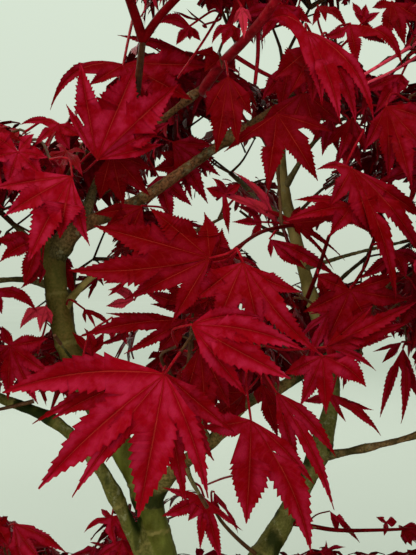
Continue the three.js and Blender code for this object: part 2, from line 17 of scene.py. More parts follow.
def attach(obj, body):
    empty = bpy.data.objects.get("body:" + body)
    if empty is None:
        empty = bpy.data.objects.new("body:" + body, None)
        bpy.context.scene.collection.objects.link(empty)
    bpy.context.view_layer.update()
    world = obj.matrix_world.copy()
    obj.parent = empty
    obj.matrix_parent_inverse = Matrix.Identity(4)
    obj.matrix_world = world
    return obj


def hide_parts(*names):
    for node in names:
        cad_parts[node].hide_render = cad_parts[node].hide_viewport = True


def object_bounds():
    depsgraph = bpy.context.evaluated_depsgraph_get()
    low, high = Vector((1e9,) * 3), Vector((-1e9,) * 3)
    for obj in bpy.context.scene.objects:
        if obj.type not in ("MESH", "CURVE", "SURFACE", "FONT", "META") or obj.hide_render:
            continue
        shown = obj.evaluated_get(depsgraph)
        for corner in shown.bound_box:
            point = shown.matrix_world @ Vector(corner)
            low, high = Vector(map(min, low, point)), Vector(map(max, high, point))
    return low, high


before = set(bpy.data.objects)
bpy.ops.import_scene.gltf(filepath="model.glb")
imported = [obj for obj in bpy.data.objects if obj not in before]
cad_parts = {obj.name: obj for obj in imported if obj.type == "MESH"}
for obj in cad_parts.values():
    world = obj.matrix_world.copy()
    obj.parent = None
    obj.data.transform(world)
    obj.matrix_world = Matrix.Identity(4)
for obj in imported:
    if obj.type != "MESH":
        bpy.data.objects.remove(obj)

packed_box = [list(corner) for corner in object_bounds()]
MM = 0.001
print("packed box", packed_box)

# %% [markdown]
# ## The camera and the photo's scale
# The photo is a close view into the crown, taken level and without tilt. A leaf lobe of 45 mm
# covers 85 pixels at the stems, so a pixel there is 0.53 mm. From that scale and the distance of
# the eye the lens follows. The same numbers turn a place in the photo into a place in the tree,
# which is how the leaves nearest to the camera are hung where the photo shows them.

# %% Camera
PHOTO_WIDTH = 416
PHOTO_HEIGHT = 555
PIXEL = 0.53
EYE = np.array([4.0, -520.0, 323.0])
SENSOR = 36


def pixel_at(depth):
    """What a pixel of the photo covers in mm, at a depth behind the stems' plane."""
    return PIXEL * (depth - EYE[1]) / -EYE[1]


def seen_at(px, py, depth):
    """The point in mm that shows at a place in the photo, at a depth."""
    scale = pixel_at(depth)
    x = EYE[0] + (px - PHOTO_WIDTH / 2) * scale
    return np.array([x, depth, EYE[2] - (py - PHOTO_HEIGHT / 2) * scale])


def in_photo(points):
    """Photo places of points in mm, one row each."""
    points = np.atleast_2d(points)
    scale = pixel_at(points[:, 1])
    px = PHOTO_WIDTH / 2 + (points[:, 0] - EYE[0]) / scale
    py = PHOTO_HEIGHT / 2 - (points[:, 2] - EYE[2]) / scale
    return np.stack([px, py], axis=1)


scene = bpy.context.scene
camera_data = bpy.data.cameras.new("camera")
camera_data.sensor_width = SENSOR
camera_data.lens = SENSOR * -EYE[1] / (PHOTO_HEIGHT * PIXEL)
camera = bpy.data.objects.new("camera", camera_data)
camera.location = Vector(EYE * MM)
camera.rotation_euler = (math.radians(90), 0, 0)
scene.collection.objects.link(camera)
scene.camera = camera
print("lens", round(camera_data.lens, 1), "mm")

# %% [markdown]
# ## Shared tools
# A limb is a smooth curve through a few named points. The curve rule is the one that the packed
# model uses, so the new bark lies on the old limbs. Every random choice comes from a seeded
# counter, so the same tree grows on each run.

# %% Curves, random numbers and meshes


def cross(a, b):
    return np.array([a[1] * b[2] - a[2] * b[1], a[2] * b[0] - a[0] * b[2], a[0] * b[1] - a[1] * b[0]])


def unit(vector):
    return vector / max(np.linalg.norm(vector), 1e-9)


def smooth_curve(points, samples=300):
    """Points evenly spaced along the centripetal curve through the given points."""
    points = [np.array(p, dtype=float) for p in points]
    ends = [2 * points[0] - points[1], *points, 2 * points[-1] - points[-2]]
    path = []
    per_span = max(2, samples // (len(points) - 1))
    for p0, p1, p2, p3 in zip(ends, ends[1:], ends[2:], ends[3:]):
        d0, d1, d2 = (np.linalg.norm(b - a) ** 0.5 for a, b in ((p0, p1), (p1, p2), (p2, p3)))
        start = ((p1 - p0) / d0 - (p2 - p0) / (d0 + d1) + (p2 - p1) / d1) * d1
        finish = ((p2 - p1) / d1 - (p3 - p1) / (d1 + d2) + (p3 - p2) / d2) * d1
        t = np.linspace(0, 1, per_span, endpoint=False)[:, None]
        bend = (-3 * p1 + 3 * p2 - 2 * start - finish) * t * t
        twist = (2 * p1 - 2 * p2 + start + finish) * t**3
        path.append(p1 + start * t + bend + twist)
    path = np.concatenate([*path, points[-1:]])
    run = np.concatenate([[0], np.cumsum(np.linalg.norm(np.diff(path, axis=0), axis=1))])
    return path, run


def spaced(points, step, samples=300):
    """Centres at an even step along the curve, with their distance from its start."""
    path, run = smooth_curve(points, samples)
    count = max(2, round(run[-1] / step)) + 1
    at = np.linspace(0, run[-1], count)
    return np.stack([np.interp(at, run, path[:, i]) for i in range(3)], axis=1), at


def seeded_random(seed):
    """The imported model's own rule for random numbers from 0 to 1."""
    state = seed & 0xFFFFFFFF

    def draw():
        nonlocal state
        state = (state + 0x6D2B79F5) & 0xFFFFFFFF
        mixed = ((state ^ (state >> 15)) * (state | 1)) & 0xFFFFFFFF
        product = ((mixed ^ (mixed >> 7)) * (mixed | 61)) & 0xFFFFFFFF
        mixed ^= (mixed + product) & 0xFFFFFFFF
        return (mixed ^ (mixed >> 14)) / 4294967296

    return draw


def add_numbers(mesh, **values):
    """A number at each point of a mesh, for every named value."""
    for label, numbers in values.items():
        column = mesh.attributes.new(label, "FLOAT", "POINT").data
        column.foreach_set("value", np.asarray(numbers, dtype=np.float32))


def new_mesh(name, points, faces, material=None, **values):
    """A mesh object from points in mm, with named values at its points."""
    mesh = bpy.data.meshes.new(name)
    mesh.from_pydata(np.asarray(points) * MM, [], faces)
    add_numbers(mesh, **values)
    mesh.polygons.foreach_set("use_smooth", [True] * len(mesh.polygons))
    if material:
        mesh.materials.append(material)
    piece = bpy.data.objects.new(name, mesh)
    scene.collection.objects.link(piece)
    return piece


def apply_modifiers(piece):
    """Turns a piece with modifiers into a plain mesh."""
    evaluated = piece.evaluated_get(bpy.context.evaluated_depsgraph_get())
    mesh = bpy.data.meshes.new_from_object(evaluated)
    piece.modifiers.clear()
    piece.data = mesh


def read_vectors(mesh, label):
    """The places or the normals of a mesh's points, one row each."""
    numbers = np.empty(len(mesh.vertices) * 3)
    mesh.vertices.foreach_get(label, numbers)
    return numbers.reshape(-1, 3)


def ring_faces(rings, sides):
    """Faces of a closed shell of rings, whose two end points come after all the rings."""
    faces = []
    for k in range(sides):
        n = (k + 1) % sides
        for a in range(0, (rings - 1) * sides, sides):
            faces.append((a + k, a + n, a + sides + n, a + sides + k))
        faces.append((rings * sides, n, k))
        faces.append((rings * sides + 1, (rings - 1) * sides + k, (rings - 1) * sides + n))
    return faces


# %% [markdown]
# ## The limbs
# Each limb is named by where it goes: its points run from the fork to the tip and its radius
# falls from the first number to the second. The trunk has its own taper, with a root flare of
# five ridges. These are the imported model's sizes.

# %% Limb sizes
SOIL_TOP = 58
TRUNK = "trunk"
LIMBS = {
    "trunk": ([(0, 0, 58.3), (-1, 0, 82), (-4, -1, 112), (-13, -4, 150), (-24, -9, 193), (-30, -10, 215),
               (-57, -4, 260), (-72, 1, 292), (-80, 5, 338)], None),
    "right_stem": ([(-3, 0, 110), (13, 8, 139), (35, 20, 171), (53, 30, 198), (69, 35, 228)], (9.4, 5)),
    "right_leader": ([(67, 34, 223), (75, 40, 262), (60, 47, 325), (47, 54, 385), (47, 48, 438)], (3.9, 2.4)),
    "right_bough": ([(68, 34, 222), (92, 22, 229), (124, 8, 241), (158, 2, 262)], (3, 1.9)),
    "knot_twig": ([(45, 26, 187), (60, 20, 186), (74, 16, 185)], (1.7, 1.2)),
    "lower_left_bough": ([(-15, -5, 150), (-32, -12, 184), (-42, -15, 207), (-53, -13, 226), (-77, -2, 247),
                          (-108, 4, 259)], (5.2, 3)),
    "inner_bough": ([(-27, -10, 207), (-14, -22, 224), (8, -46, 246), (21, -50, 262), (41, -52, 272),
                     (64, -55, 288)], (4.4, 2.3)),
    "front_bough": ([(4, -41, 241), (-2, -62, 262), (-4, -82, 278)], (2.4, 1.7)),
    "fork_twig": ([(-8, -29, 231), (-4, -42, 224), (0, -50, 219)], (1.5, 1.1)),
    "front_left_bough": ([(-49, -7, 247), (-56, -34, 272), (-64, -66, 292)], (2.6, 1.7)),
    "side_bough": ([(-75, 2, 303), (-65, 0, 316), (-54, -4, 325), (-38, -10, 328)], (2.3, 1.4)),
    "upper_bough": ([(-80, 5, 332), (-68, 2, 347), (-31, -8, 364), (8, -5, 391), (38, -14, 410)], (4.7, 2)),
    "crown_bough": ([(-62, 0, 352), (-54, 8, 378), (-32, 2, 397), (0, -20, 419)], (3, 2)),
    "shoulder_bough": ([(-80, 5, 330), (-92, 4, 344), (-100, 0, 352)], (2.8, 1.9)),
    "left_bough": ([(-77, 4, 318), (-100, 16, 322), (-132, 18, 318)], (2.8, 1.8)),
    "back_left_bough": ([(-68, 0, 284), (-74, 32, 308), (-76, 62, 322)], (2.9, 1.9)),
    "top_right_bough": ([(49, 53, 376), (66, 42, 402), (92, 26, 420)], (2.3, 1.6)),
    "mid_right_bough": ([(59, 47, 328), (84, 26, 336), (108, 6, 342)], (2.5, 1.7)),
    "back_right_bough": ([(67, 44, 304), (84, 70, 322), (98, 88, 332)], (2.6, 1.7)),
    "back_bough": ([(54, 51, 352), (34, 80, 372), (22, 104, 386)], (2.4, 1.6)),
    "back_low_bough": ([(74, 41, 270), (52, 76, 282), (28, 100, 290)], (2.6, 1.7)),
    "low_left_bough": ([(-7, -2, 122), (-42, 34, 122), (-78, 56, 122)], (4, 2)),
    "low_right_bough": ([(9, 6, 132), (50, 30, 126), (90, 46, 126)], (4, 2)),
    "low_back_bough": ([(-6, -2, 120), (0, 50, 126), (4, 88, 128)], (3.8, 2)),
}


def trunk_radius(height):
    taper = 5.6 + 10.5 * np.exp(-height / 80)
    below_fork = 3 / (1 + np.exp((height - 62) / 9))
    return taper + below_fork + 8 * np.exp(-height / 12)


def root_ridge(angle, height):
    return 1 + 0.2 * np.exp(-height / 14) * np.cos(5 * angle + 0.7)


def limb_radii(name, centres):
    if name == TRUNK:
        return trunk_radius(centres[:, 2] - SOIL_TOP)
    thick, thin = LIMBS[name][1]
    share = np.linspace(0, 1, len(centres))
    return thick + (thin - thick) * share**0.8


AXIS_STEP = 1.5
axes = []
for index, name in enumerate(LIMBS):
    centres, run = spaced(LIMBS[name][0], AXIS_STEP)
    axes.append((centres, limb_radii(name, centres), np.full(len(centres), index), run))
axis_points, axis_radii, axis_limb, axis_run = (np.concatenate(column) for column in zip(*axes))
print(len(LIMBS), "limbs,", len(axis_points), "points on their middle lines")

# %% [markdown]
# ## Bark shapes
# On the real tree a limb swells where it leaves its parent, and the wood of both runs together.
# Separate tubes can't show that. So the tubes are made first, with swellings where the photo
# shows knots and old cuts, and a voxel remesh then melts them into one skin. The relief comes
# last, pushed out along the normals, because a remesh would wipe it away.

# %% Tubes that swell at forks and knots
# share of the limb's length, reach and swelling in mm
SWELLINGS = {
    "trunk": [(0.985, 5, 1.9), (0.52, 7, 1.2), (0.83, 2, 0.5)],
    "right_stem": [(0.97, 8, 1.4), (0.5, 6, 1.0)],
    "inner_bough": [(0.53, 4, 1.3), (0.75, 4, 0.7)],
    "upper_bough": [(0.08, 8, 1.0), (0.82, 5, 1.8)],
    "crown_bough": [(0.93, 5, 1.2)],
    "lower_left_bough": [(0.45, 6, 0.8), (0.8, 5, 0.7)],
    "right_bough": [(0.25, 5, 0.7), (0.55, 4, 0.5)],
    "right_leader": [(0.3, 4, 0.5), (0.42, 4, 0.6)],
}
SLIMMER = {"right_bough": 0.76, "lower_left_bough": 0.9, "right_leader": 1.25, "crown_bough": 0.85,
           "mid_right_bough": 0.6, "left_bough": 0.75, "top_right_bough": 0.75, "back_right_bough": 0.75,
           "front_left_bough": 0.5, "shoulder_bough": 0.8, "knot_twig": 0.55}
PARENT_THICKER = 1.6
COLLAR_REACH = 7
COLLAR_SWELL = 0.45
TUBE_STEP = 2.0
ROUND_TIP = (30, 60, 80)
TRUNK_SIDES = 40
LIMB_SIDES = 20


def frames_along(centres):
    """Two cross directions for each centre, turned as little as possible."""
    normal = np.array([1.0, 0.0, 0.0])
    frames = []
    for i in range(len(centres)):
        ahead = unit(centres[min(i + 1, len(centres) - 1)] - centres[max(i - 1, 0)])
        if i == 0 and abs(normal @ ahead) > 0.9:
            normal = np.array([0.0, 1.0, 0.0])
        normal = unit(normal - ahead * (normal @ ahead))
        frames.append((normal, np.cross(ahead, normal)))
    return frames


def tube(centres, radii, sides, ridge=None):
    """Points and faces of a closed tube with a rounded tip."""
    angles = np.arange(sides) * 2 * math.pi / sides
    points = []
    for centre, radius, (normal, across) in zip(centres, radii, frames_along(centres)):
        swell = ridge(angles, centre[2] - SOIL_TOP) if ridge else 1
        ring = np.cos(angles)[:, None] * normal + np.sin(angles)[:, None] * across
        points.append(centre + ring * (radius * swell * np.ones(sides))[:, None])
    return np.concatenate([*points, centres[:1], centres[-1:]]), ring_faces(len(points), sides)


def limb_tube(name):
    centres, run = spaced(LIMBS[name][0], TUBE_STEP)
    radii = limb_radii(name, centres) * SLIMMER.get(name, 1)
    if name != TRUNK:
        parent_radius = radii[0] * PARENT_THICKER
        radii = radii * (1 + COLLAR_SWELL * np.exp(-((run / (parent_radius + COLLAR_REACH)) ** 2)))
    for share, reach, swell in SWELLINGS.get(name, []):
        radii = radii + swell * np.exp(-(((run - share * run[-1]) / reach) ** 2))
    heading = unit(centres[-1] - centres[-2])
    end, end_radius = centres[-1], radii[-1]
    for turn in ROUND_TIP:
        angle = math.radians(turn)
        centres = np.vstack([centres, end + heading * math.sin(angle) * end_radius])
        radii = np.append(radii, end_radius * math.cos(angle))
    if name == TRUNK:
        return tube(centres, radii, TRUNK_SIDES, root_ridge)
    return tube(centres, radii, LIMB_SIDES)


def joined(parts):
    points, faces, start = [], [], 0
    for part_points, part_faces in parts:
        points.append(part_points)
        faces.extend(tuple(i + start for i in face) for face in part_faces)
        start += len(part_points)
    return np.concatenate(points), faces


# %% [markdown]
# ## Bark finishes
# Maple bark stays smooth and green for years. The upper stem in the photo is a yellow olive with
# rings where buds once sat, the lower stem is greener, and the side boughs are browner, rougher
# and flecked with lichen, with dark moss. Boughs that lie in shadow also get painted shade, a near
# black green laid on with the moss. One recipe makes both barks. It reads numbers that the mesh
# carries: how old the wood is, how russet it is, how much lighter tan it gets high up, which is
# partly the bark's own tan and partly painted light, how near a point is to a ring, how deep it
# lies in a crack, and how much moss and painted shade it has. The dark in the cracks is partly the
# bark's own and partly painted shade.

# %% Bark material


def new_material(name):
    material = bpy.data.materials.new(name)
    material.use_nodes = True
    return material, material.node_tree, material.node_tree.nodes["Principled BSDF"]


def number_on_mesh(tree, label):
    node = tree.nodes.new("ShaderNodeAttribute")
    node.attribute_name = label
    return node.outputs["Fac"]


def noise_pattern(tree, size, detail=4, stretch=(1, 1, 1), roughness=0.55):
    """A noise with features of a size in mm, on the piece's own coordinates."""
    place = tree.nodes.new("ShaderNodeTexCoord")
    mapping = tree.nodes.new("ShaderNodeMapping")
    mapping.inputs["Scale"].default_value = [1 / s for s in stretch]
    pattern = tree.nodes.new("ShaderNodeTexNoise")
    pattern.inputs["Scale"].default_value = 1 / (size * MM)
    pattern.inputs["Detail"].default_value = detail
    pattern.inputs["Roughness"].default_value = roughness
    tree.links.new(place.outputs["Object"], mapping.inputs["Vector"])
    tree.links.new(mapping.outputs["Vector"], pattern.inputs["Vector"])
    return pattern.outputs["Fac"]


def ramp(tree, source, *stops):
    """Colours or greys dealt out by a number: each stop is a place and a colour."""
    node = tree.nodes.new("ShaderNodeValToRGB")
    elements = node.color_ramp.elements
    while len(elements) < len(stops):
        elements.new(0.5)
    for element, (place, colour) in zip(elements, stops):
        element.position = place
        colour = (colour,) * 3 if isinstance(colour, (int, float)) else colour
        element.color = (*colour, 1)
    tree.links.new(source, node.inputs["Fac"])
    return node.outputs["Color"]


def blend(tree, amount, first, second, mode="MIX"):
    """Two colours mixed: amount, first and second are sockets or plain values."""
    node = tree.nodes.new("ShaderNodeMix")
    node.data_type = "RGBA"
    node.blend_type = mode
    for socket, value in ((node.inputs["Factor"], amount), (node.inputs[6], first), (node.inputs[7], second)):
        if isinstance(value, bpy.types.NodeSocket):
            tree.links.new(value, socket)
        else:
            socket.default_value = value if isinstance(value, float) else (*value, 1)
    return node.outputs[2]


def relief(tree, shader, height, strength, depth):
    """Bump from a height that runs from 0 to 1; depth in mm."""
    node = tree.nodes.new("ShaderNodeBump")
    node.inputs["Strength"].default_value = strength
    node.inputs["Distance"].default_value = depth * MM
    tree.links.new(height, node.inputs["Height"])
    tree.links.new(node.outputs["Normal"], shader.inputs["Normal"])


def bark_finish(name, smooth_colours, rough_colours):
    material, tree, shader = new_material(name)
    patches = noise_pattern(tree, 9, 5, stretch=(1, 1, 2.5))
    specks = noise_pattern(tree, 1.3, 4)
    lichen = noise_pattern(tree, 5, 6, roughness=0.7)
    shade = noise_pattern(tree, 15, 3, stretch=(1, 1, 2))
    smooth_bark = ramp(tree, patches, (0.32, smooth_colours[0]), (0.68, smooth_colours[1]))
    rough_bark = ramp(tree, specks, (0.3, rough_colours[0]), (0.7, rough_colours[1]))
    rough_bark = blend(tree, ramp(tree, shade, (0.36, 0.75), (0.52, 0.0)), rough_bark, rough_colours[0])
    colour = blend(tree, number_on_mesh(tree, "age"), smooth_bark, rough_bark)
    russet_bark = ramp(tree, specks, (0.3, RUSSET[0]), (0.7, RUSSET[1]))
    tan_bark = ramp(tree, patches, (0.32, TAN_AND_PAINTED_LIGHT[0]), (0.68, TAN_AND_PAINTED_LIGHT[1]))
    colour = blend(tree, number_on_mesh(tree, "russet"), colour, russet_bark)
    # lighter tan high on the leader and side bough: partly the bark's own tan, partly painted light where the
    # crown shades them
    colour = blend(tree, number_on_mesh(tree, "tan"), colour, tan_bark)
    flecks = ramp(tree, lichen, (0.57, 0.0), (0.64, 0.7))
    old_only = ramp(tree, number_on_mesh(tree, "age"), (0.15, 0.05), (0.6, 1.0))
    flecks = blend(tree, 1.0, flecks, old_only, "MULTIPLY")
    colour = blend(tree, flecks, colour, (0.27, 0.25, 0.14))
    # dark moss and painted shade: limbs that lie in shadow are painted a near black green in patches
    colour = blend(tree, number_on_mesh(tree, "moss"), colour, (0.011, 0.016, 0.001))
    colour = blend(tree, number_on_mesh(tree, "ring"), colour, (0.2, 0.155, 0.045))
    # the cracks painted near black: partly the bark's own dark, partly painted shade in the recesses
    colour = blend(tree, number_on_mesh(tree, "crack"), colour, (0.006, 0.004, 0.002))
    tree.links.new(colour, shader.inputs["Base Color"])
    tree.links.new(ramp(tree, specks, (0.2, 0.5), (0.8, 0.78)), shader.inputs["Roughness"])
    shader.inputs["Specular IOR Level"].default_value = 0.07
    grain = noise_pattern(tree, 0.8, 5, stretch=(1, 1, 3))
    relief(tree, shader, grain, 0.6, 0.35)
    return material


OLIVE = ((0.048, 0.046, 0.002), (0.135, 0.145, 0.022))
BROWN_OLIVE = ((0.019, 0.012, 0.002), (0.235, 0.175, 0.065))
YOUNG_OLIVE = ((0.07, 0.055, 0.012), (0.22, 0.18, 0.07))
YOUNG_BROWN = ((0.018, 0.01, 0.002), (0.3, 0.215, 0.09))
RUSSET = ((0.045, 0.011, 0.004), (0.33, 0.125, 0.05))
TAN_AND_PAINTED_LIGHT = ((0.18, 0.125, 0.03), (0.46, 0.33, 0.11))
old_bark = bark_finish("old_bark", OLIVE, BROWN_OLIVE)
young_bark = bark_finish("young_bark", YOUNG_OLIVE, YOUNG_BROWN)

# %% [markdown]
# ## Bark pieces
# Old wood and young wood are two skins. Each limb has an age from 0, smooth and green, to 1,
# rough and brown. Rings stand where pairs of buds once were, a few centimetres apart. Cracks
# follow a stretched noise and are deepest on old wood near the root.

# %% Melt the tubes, push out the relief
OLD_LIMBS = ("trunk", "right_stem", "right_leader", "lower_left_bough", "inner_bough", "upper_bough",
             "low_left_bough", "low_right_bough", "low_back_bough")
AGES = {"trunk": 0.1, "right_stem": 0.45, "right_leader": 0.5, "lower_left_bough": 0.45, "inner_bough": 0.6,
        "upper_bough": 0.95, "right_bough": 0.85, "crown_bough": 0.95, "side_bough": 0.2,
        "front_left_bough": 0.0}
RUSSET_LIMBS = {"upper_bough": 0.85, "crown_bough": 0.85, "inner_bough": 0.35, "right_bough": 0.4,
                "trunk": 0.28}
RUSSET_FROM = {"trunk": 200}
# limbs painted a lighter tan above a height: partly their own tan, partly painted light
TAN_AND_PAINTED_LIGHT_LIMBS = {"right_leader": 0.85, "side_bough": 0.8}
TAN_AND_PAINTED_LIGHT_FROM = 283
# how much dark moss and painted shade each limb gets; the boughs in shadow get the most
MOSS_AND_SHADE = {"inner_bough": 0.9, "lower_left_bough": 1.6, "right_stem": 0.9, "upper_bough": 0.5, "crown_bough": 0.5,
        "right_bough": 0.6, "right_leader": 0.15, "trunk": 0.3, "side_bough": 0.1, "front_left_bough": 0.9}
RING_STEP = 27
RING_SHIFT = 12.3
RING_WIDTH = 0.9
RING_HEIGHT = 0.5
CRACK_DEPTH = 0.55
USUAL_AGE = 0.55
USUAL_MOSS_AND_SHADE = 0.3
CUT_FOOT = 1.2
VOXEL = 0.82


def bark_skin(name, limbs, material):
    points, faces = joined([limb_tube(limb) for limb in limbs])
    piece = new_mesh(name, points, faces)
    melt = piece.modifiers.new("melt", "REMESH")
    melt.mode = "VOXEL"
    melt.voxel_size = VOXEL * MM
    even = piece.modifiers.new("even", "SMOOTH")
    even.factor = 0.5
    even.iterations = 4
    apply_modifiers(piece)
    mesh = piece.data
    places = read_vectors(mesh, "co") / MM
    normals = read_vectors(mesh, "normal")
    wanted = [list(LIMBS).index(limb) for limb in limbs]
    own = np.isin(axis_limb, wanted)
    tree = KDTree(int(own.sum()))
    for i in np.flatnonzero(own):
        tree.insert(axis_points[i], int(i))
    tree.balance()
    nearest = np.array([tree.find(place)[1] for place in places])

    def by_limb(values, otherwise):
        return np.array([values.get(limb, otherwise) for limb in LIMBS])[axis_limb[nearest]]

    age = by_limb(AGES, USUAL_AGE)
    run = axis_run[nearest]
    height = places[:, 2] - SOIL_TOP
    age = np.clip(age + 0.5 * np.exp(-np.maximum(height, 0) / 30), 0, 1)
    wobble = np.array([noise.noise(Vector(p) * 0.09) for p in places])
    from_ring = np.abs((run + RING_SHIFT + 9 * axis_limb[nearest] + 2.5 * wobble) % RING_STEP - RING_STEP / 2)
    ring = np.exp(-((from_ring / RING_WIDTH) ** 2)) * np.clip(1.25 - age, 0, 1)
    cracked = np.array([noise.noise(Vector((p[0] * 0.5, p[1] * 0.5, p[2] * 0.16))) for p in places])
    crack = np.clip((0.1 - np.abs(cracked)) / 0.1, 0, 1) ** 2 * np.clip(age * 1.4 - 0.35, 0, 1)
    patchy = np.array([noise.noise(Vector((p[0] * 0.11, p[1] * 0.11, p[2] * 0.05))) for p in places])
    # moss and painted shade, in patches, by limb
    moss = np.clip(by_limb(MOSS_AND_SHADE, USUAL_MOSS_AND_SHADE) * np.clip(0.25 + 4 * patchy, 0, 1), 0, 1)
    russet = by_limb(RUSSET_LIMBS, 0) * np.clip((run - by_limb(RUSSET_FROM, 6)) / 24, 0, 1)
    # the lighter tan and painted light grow in above the height given
    tan = by_limb(TAN_AND_PAINTED_LIGHT_LIMBS, 0) * np.clip((places[:, 2] - TAN_AND_PAINTED_LIGHT_FROM) / 25, 0, 1)
    lumps = np.array([noise.noise(Vector(p) * 0.2) + 0.4 * noise.noise(Vector(p) * 0.7) for p in places])
    thick = np.clip(axis_radii[nearest] / 8, 0.25, 1)
    push = (RING_HEIGHT * ring - CRACK_DEPTH * crack + (0.35 + 0.65 * age) * lumps) * thick
    push[height < CUT_FOOT] = np.minimum(push[height < CUT_FOOT], 0)
    places = places + normals * push[:, None]
    mesh.vertices.foreach_set("co", (places * MM).ravel())
    add_numbers(mesh, age=age, ring=0.85 * ring, crack=0.8 * crack, moss=moss, russet=russet, tan=tan)
    mesh.polygons.foreach_set("use_smooth", [True] * len(mesh.polygons))
    mesh.materials.clear()
    mesh.materials.append(material)
    mesh.update()
    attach(piece, "root")
    for limb in limbs:
        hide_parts(limb)
    print(name, len(mesh.polygons), "faces")


bark_skin("old_wood", [name for name in LIMBS if name in OLD_LIMBS], old_bark)
bark_skin("young_wood", [name for name in LIMBS if name not in OLD_LIMBS], young_bark)

# %% [markdown]
# ## The pot and its soil
# The photo stops above the pot, so it is a plain one: a shallow oval of unglazed stoneware with a
# rolled rim. A profile spun round makes a circle, and the circle drawn in along one way makes the
# oval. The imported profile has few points, so it is rounded here by a curve through them.

# %% Pot
POT_LENGTH = 300
POT_WIDTH = 216
POT_PROFILE = [(0, 0), (118, 0), (121, 0.4), (124, 3.5), (128, 12), (137, 34), (143, 50.5), (145.5, 52.6),
               (149, 54), (150, 56), (150, 60), (149.3, 61.5), (148, 62), (141, 62), (140, 61), (136, 50),
               (128, 30), (114, 11), (0, 11)]
POT_SIDES = 160


def oval_shell(profile, sides, fineness):
    """A profile rounded, spun and drawn in to an oval. The axis points close both ends."""
    outline = [np.array(p, dtype=float) for p in profile]
    for _ in range(fineness):
        rounded = [outline[0]]
        for a, b in zip(outline, outline[1:]):
            rounded += [a * 0.8 + b * 0.2, a * 0.2 + b * 0.8]
        outline = [*rounded[:1], *rounded[2:-1], outline[-1]]
    rings = outline[1:-1]
    points = []
    for radius, height in rings:
        for k in range(sides):
            turn = 2 * math.pi * k / sides
            points.append((radius * math.cos(turn), radius * math.sin(turn) * POT_WIDTH / POT_LENGTH, height))
    points += [(0, 0, outline[0][1]), (0, 0, outline[-1][1])]
    return np.array(points), ring_faces(len(rings), sides)


def stoneware_finish():
    material, tree, shader = new_material("stoneware")
    clouds = noise_pattern(tree, 60, 4)
    grit = noise_pattern(tree, 1.1, 3)
    clay = ramp(tree, clouds, (0.3, (0.1, 0.062, 0.042)), (0.7, (0.19, 0.125, 0.085)))
    specks = ramp(tree, grit, (0.62, 0.0), (0.72, 0.7))
    colour = blend(tree, specks, clay, (0.04, 0.03, 0.025))
    tree.links.new(colour, shader.inputs["Base Color"])
    tree.links.new(ramp(tree, grit, (0.3, 0.5), (0.7, 0.72)), shader.inputs["Roughness"])
    relief(tree, shader, noise_pattern(tree, 2.2, 6), 0.35, 0.3)
    return material


stoneware = stoneware_finish()
pot = new_mesh("stoneware_pot", *oval_shell(POT_PROFILE, POT_SIDES, 1), stoneware)
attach(pot, "root")
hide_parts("pot")
print("pot", len(pot.data.polygons), "faces")

# %% [markdown]
# Bonsai soil is baked clay in grains of 2 to 5 mm, mounded towards the root. A smooth bed follows
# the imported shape, and grains are strewn over it. Strewing thousands of like things over a surface
# is what Geometry Nodes are for: points are spread over the bed, each gets a grain with its own
# size and turn, and the instances are made real at the end.

# %% Soil bed and grains
SOIL_PROFILE = [(0, 11.3), (113.3, 11.3), (127.5, 30), (135.7, 51), (134, 52.2), (90, 55), (42, 57.2),
                (0, 57.2)]
BED_SIDES = 96
BED_TONE = 0.1
GRAINS_PER_SQUARE_CM = 9.5
GRAIN_RADIUS = (0.9, 2.0)


def clay_finish():
    material, tree, shader = new_material("baked_clay")
    tone = number_on_mesh(tree, "tone")
    colour = ramp(tree, tone, (0.0, (0.07, 0.04, 0.024)), (0.45, (0.15, 0.085, 0.045)),
                  (0.8, (0.24, 0.15, 0.085)), (1.0, (0.1, 0.095, 0.09)))
    dust = noise_pattern(tree, 1.5, 3)
    colour = blend(tree, ramp(tree, dust, (0.45, 0.0), (0.7, 0.4)), colour, (0.3, 0.22, 0.15))
    tree.links.new(colour, shader.inputs["Base Color"])
    shader.inputs["Roughness"].default_value = 0.92
    relief(tree, shader, noise_pattern(tree, 0.7, 4), 0.7, 0.3)
    return material


baked_clay = clay_finish()
bed_points, bed_faces = oval_shell(SOIL_PROFILE, BED_SIDES, 1)
soil_bed = new_mesh("soil_bed", bed_points, bed_faces, baked_clay, tone=np.full(len(bed_points), BED_TONE))


def node_tree(name, inputs, output, kinds, values, joints):
    """A tree of Geometry Nodes from lists: its inputs by name and kind, its nodes by name, type
    and settings, the values of their inputs, and its links as node, output, node, input."""
    tree = bpy.data.node_groups.new(name, "GeometryNodeTree")
    for label, kind in inputs:
        tree.interface.new_socket(label, in_out="INPUT", socket_type="NodeSocket" + kind)
    tree.interface.new_socket(output, in_out="OUTPUT", socket_type="NodeSocketGeometry")
    made = {}
    for label, kind, *settings in kinds:
        made[label] = tree.nodes.new(kind)
        for setting, value in settings:
            setattr(made[label], setting, value)
    for label, socket, value in values:
        made[label].inputs[socket].default_value = value
    for source, leaving, target, entering in joints:
        tree.links.new(made[source].outputs[leaving], made[target].inputs[entering])
    return tree


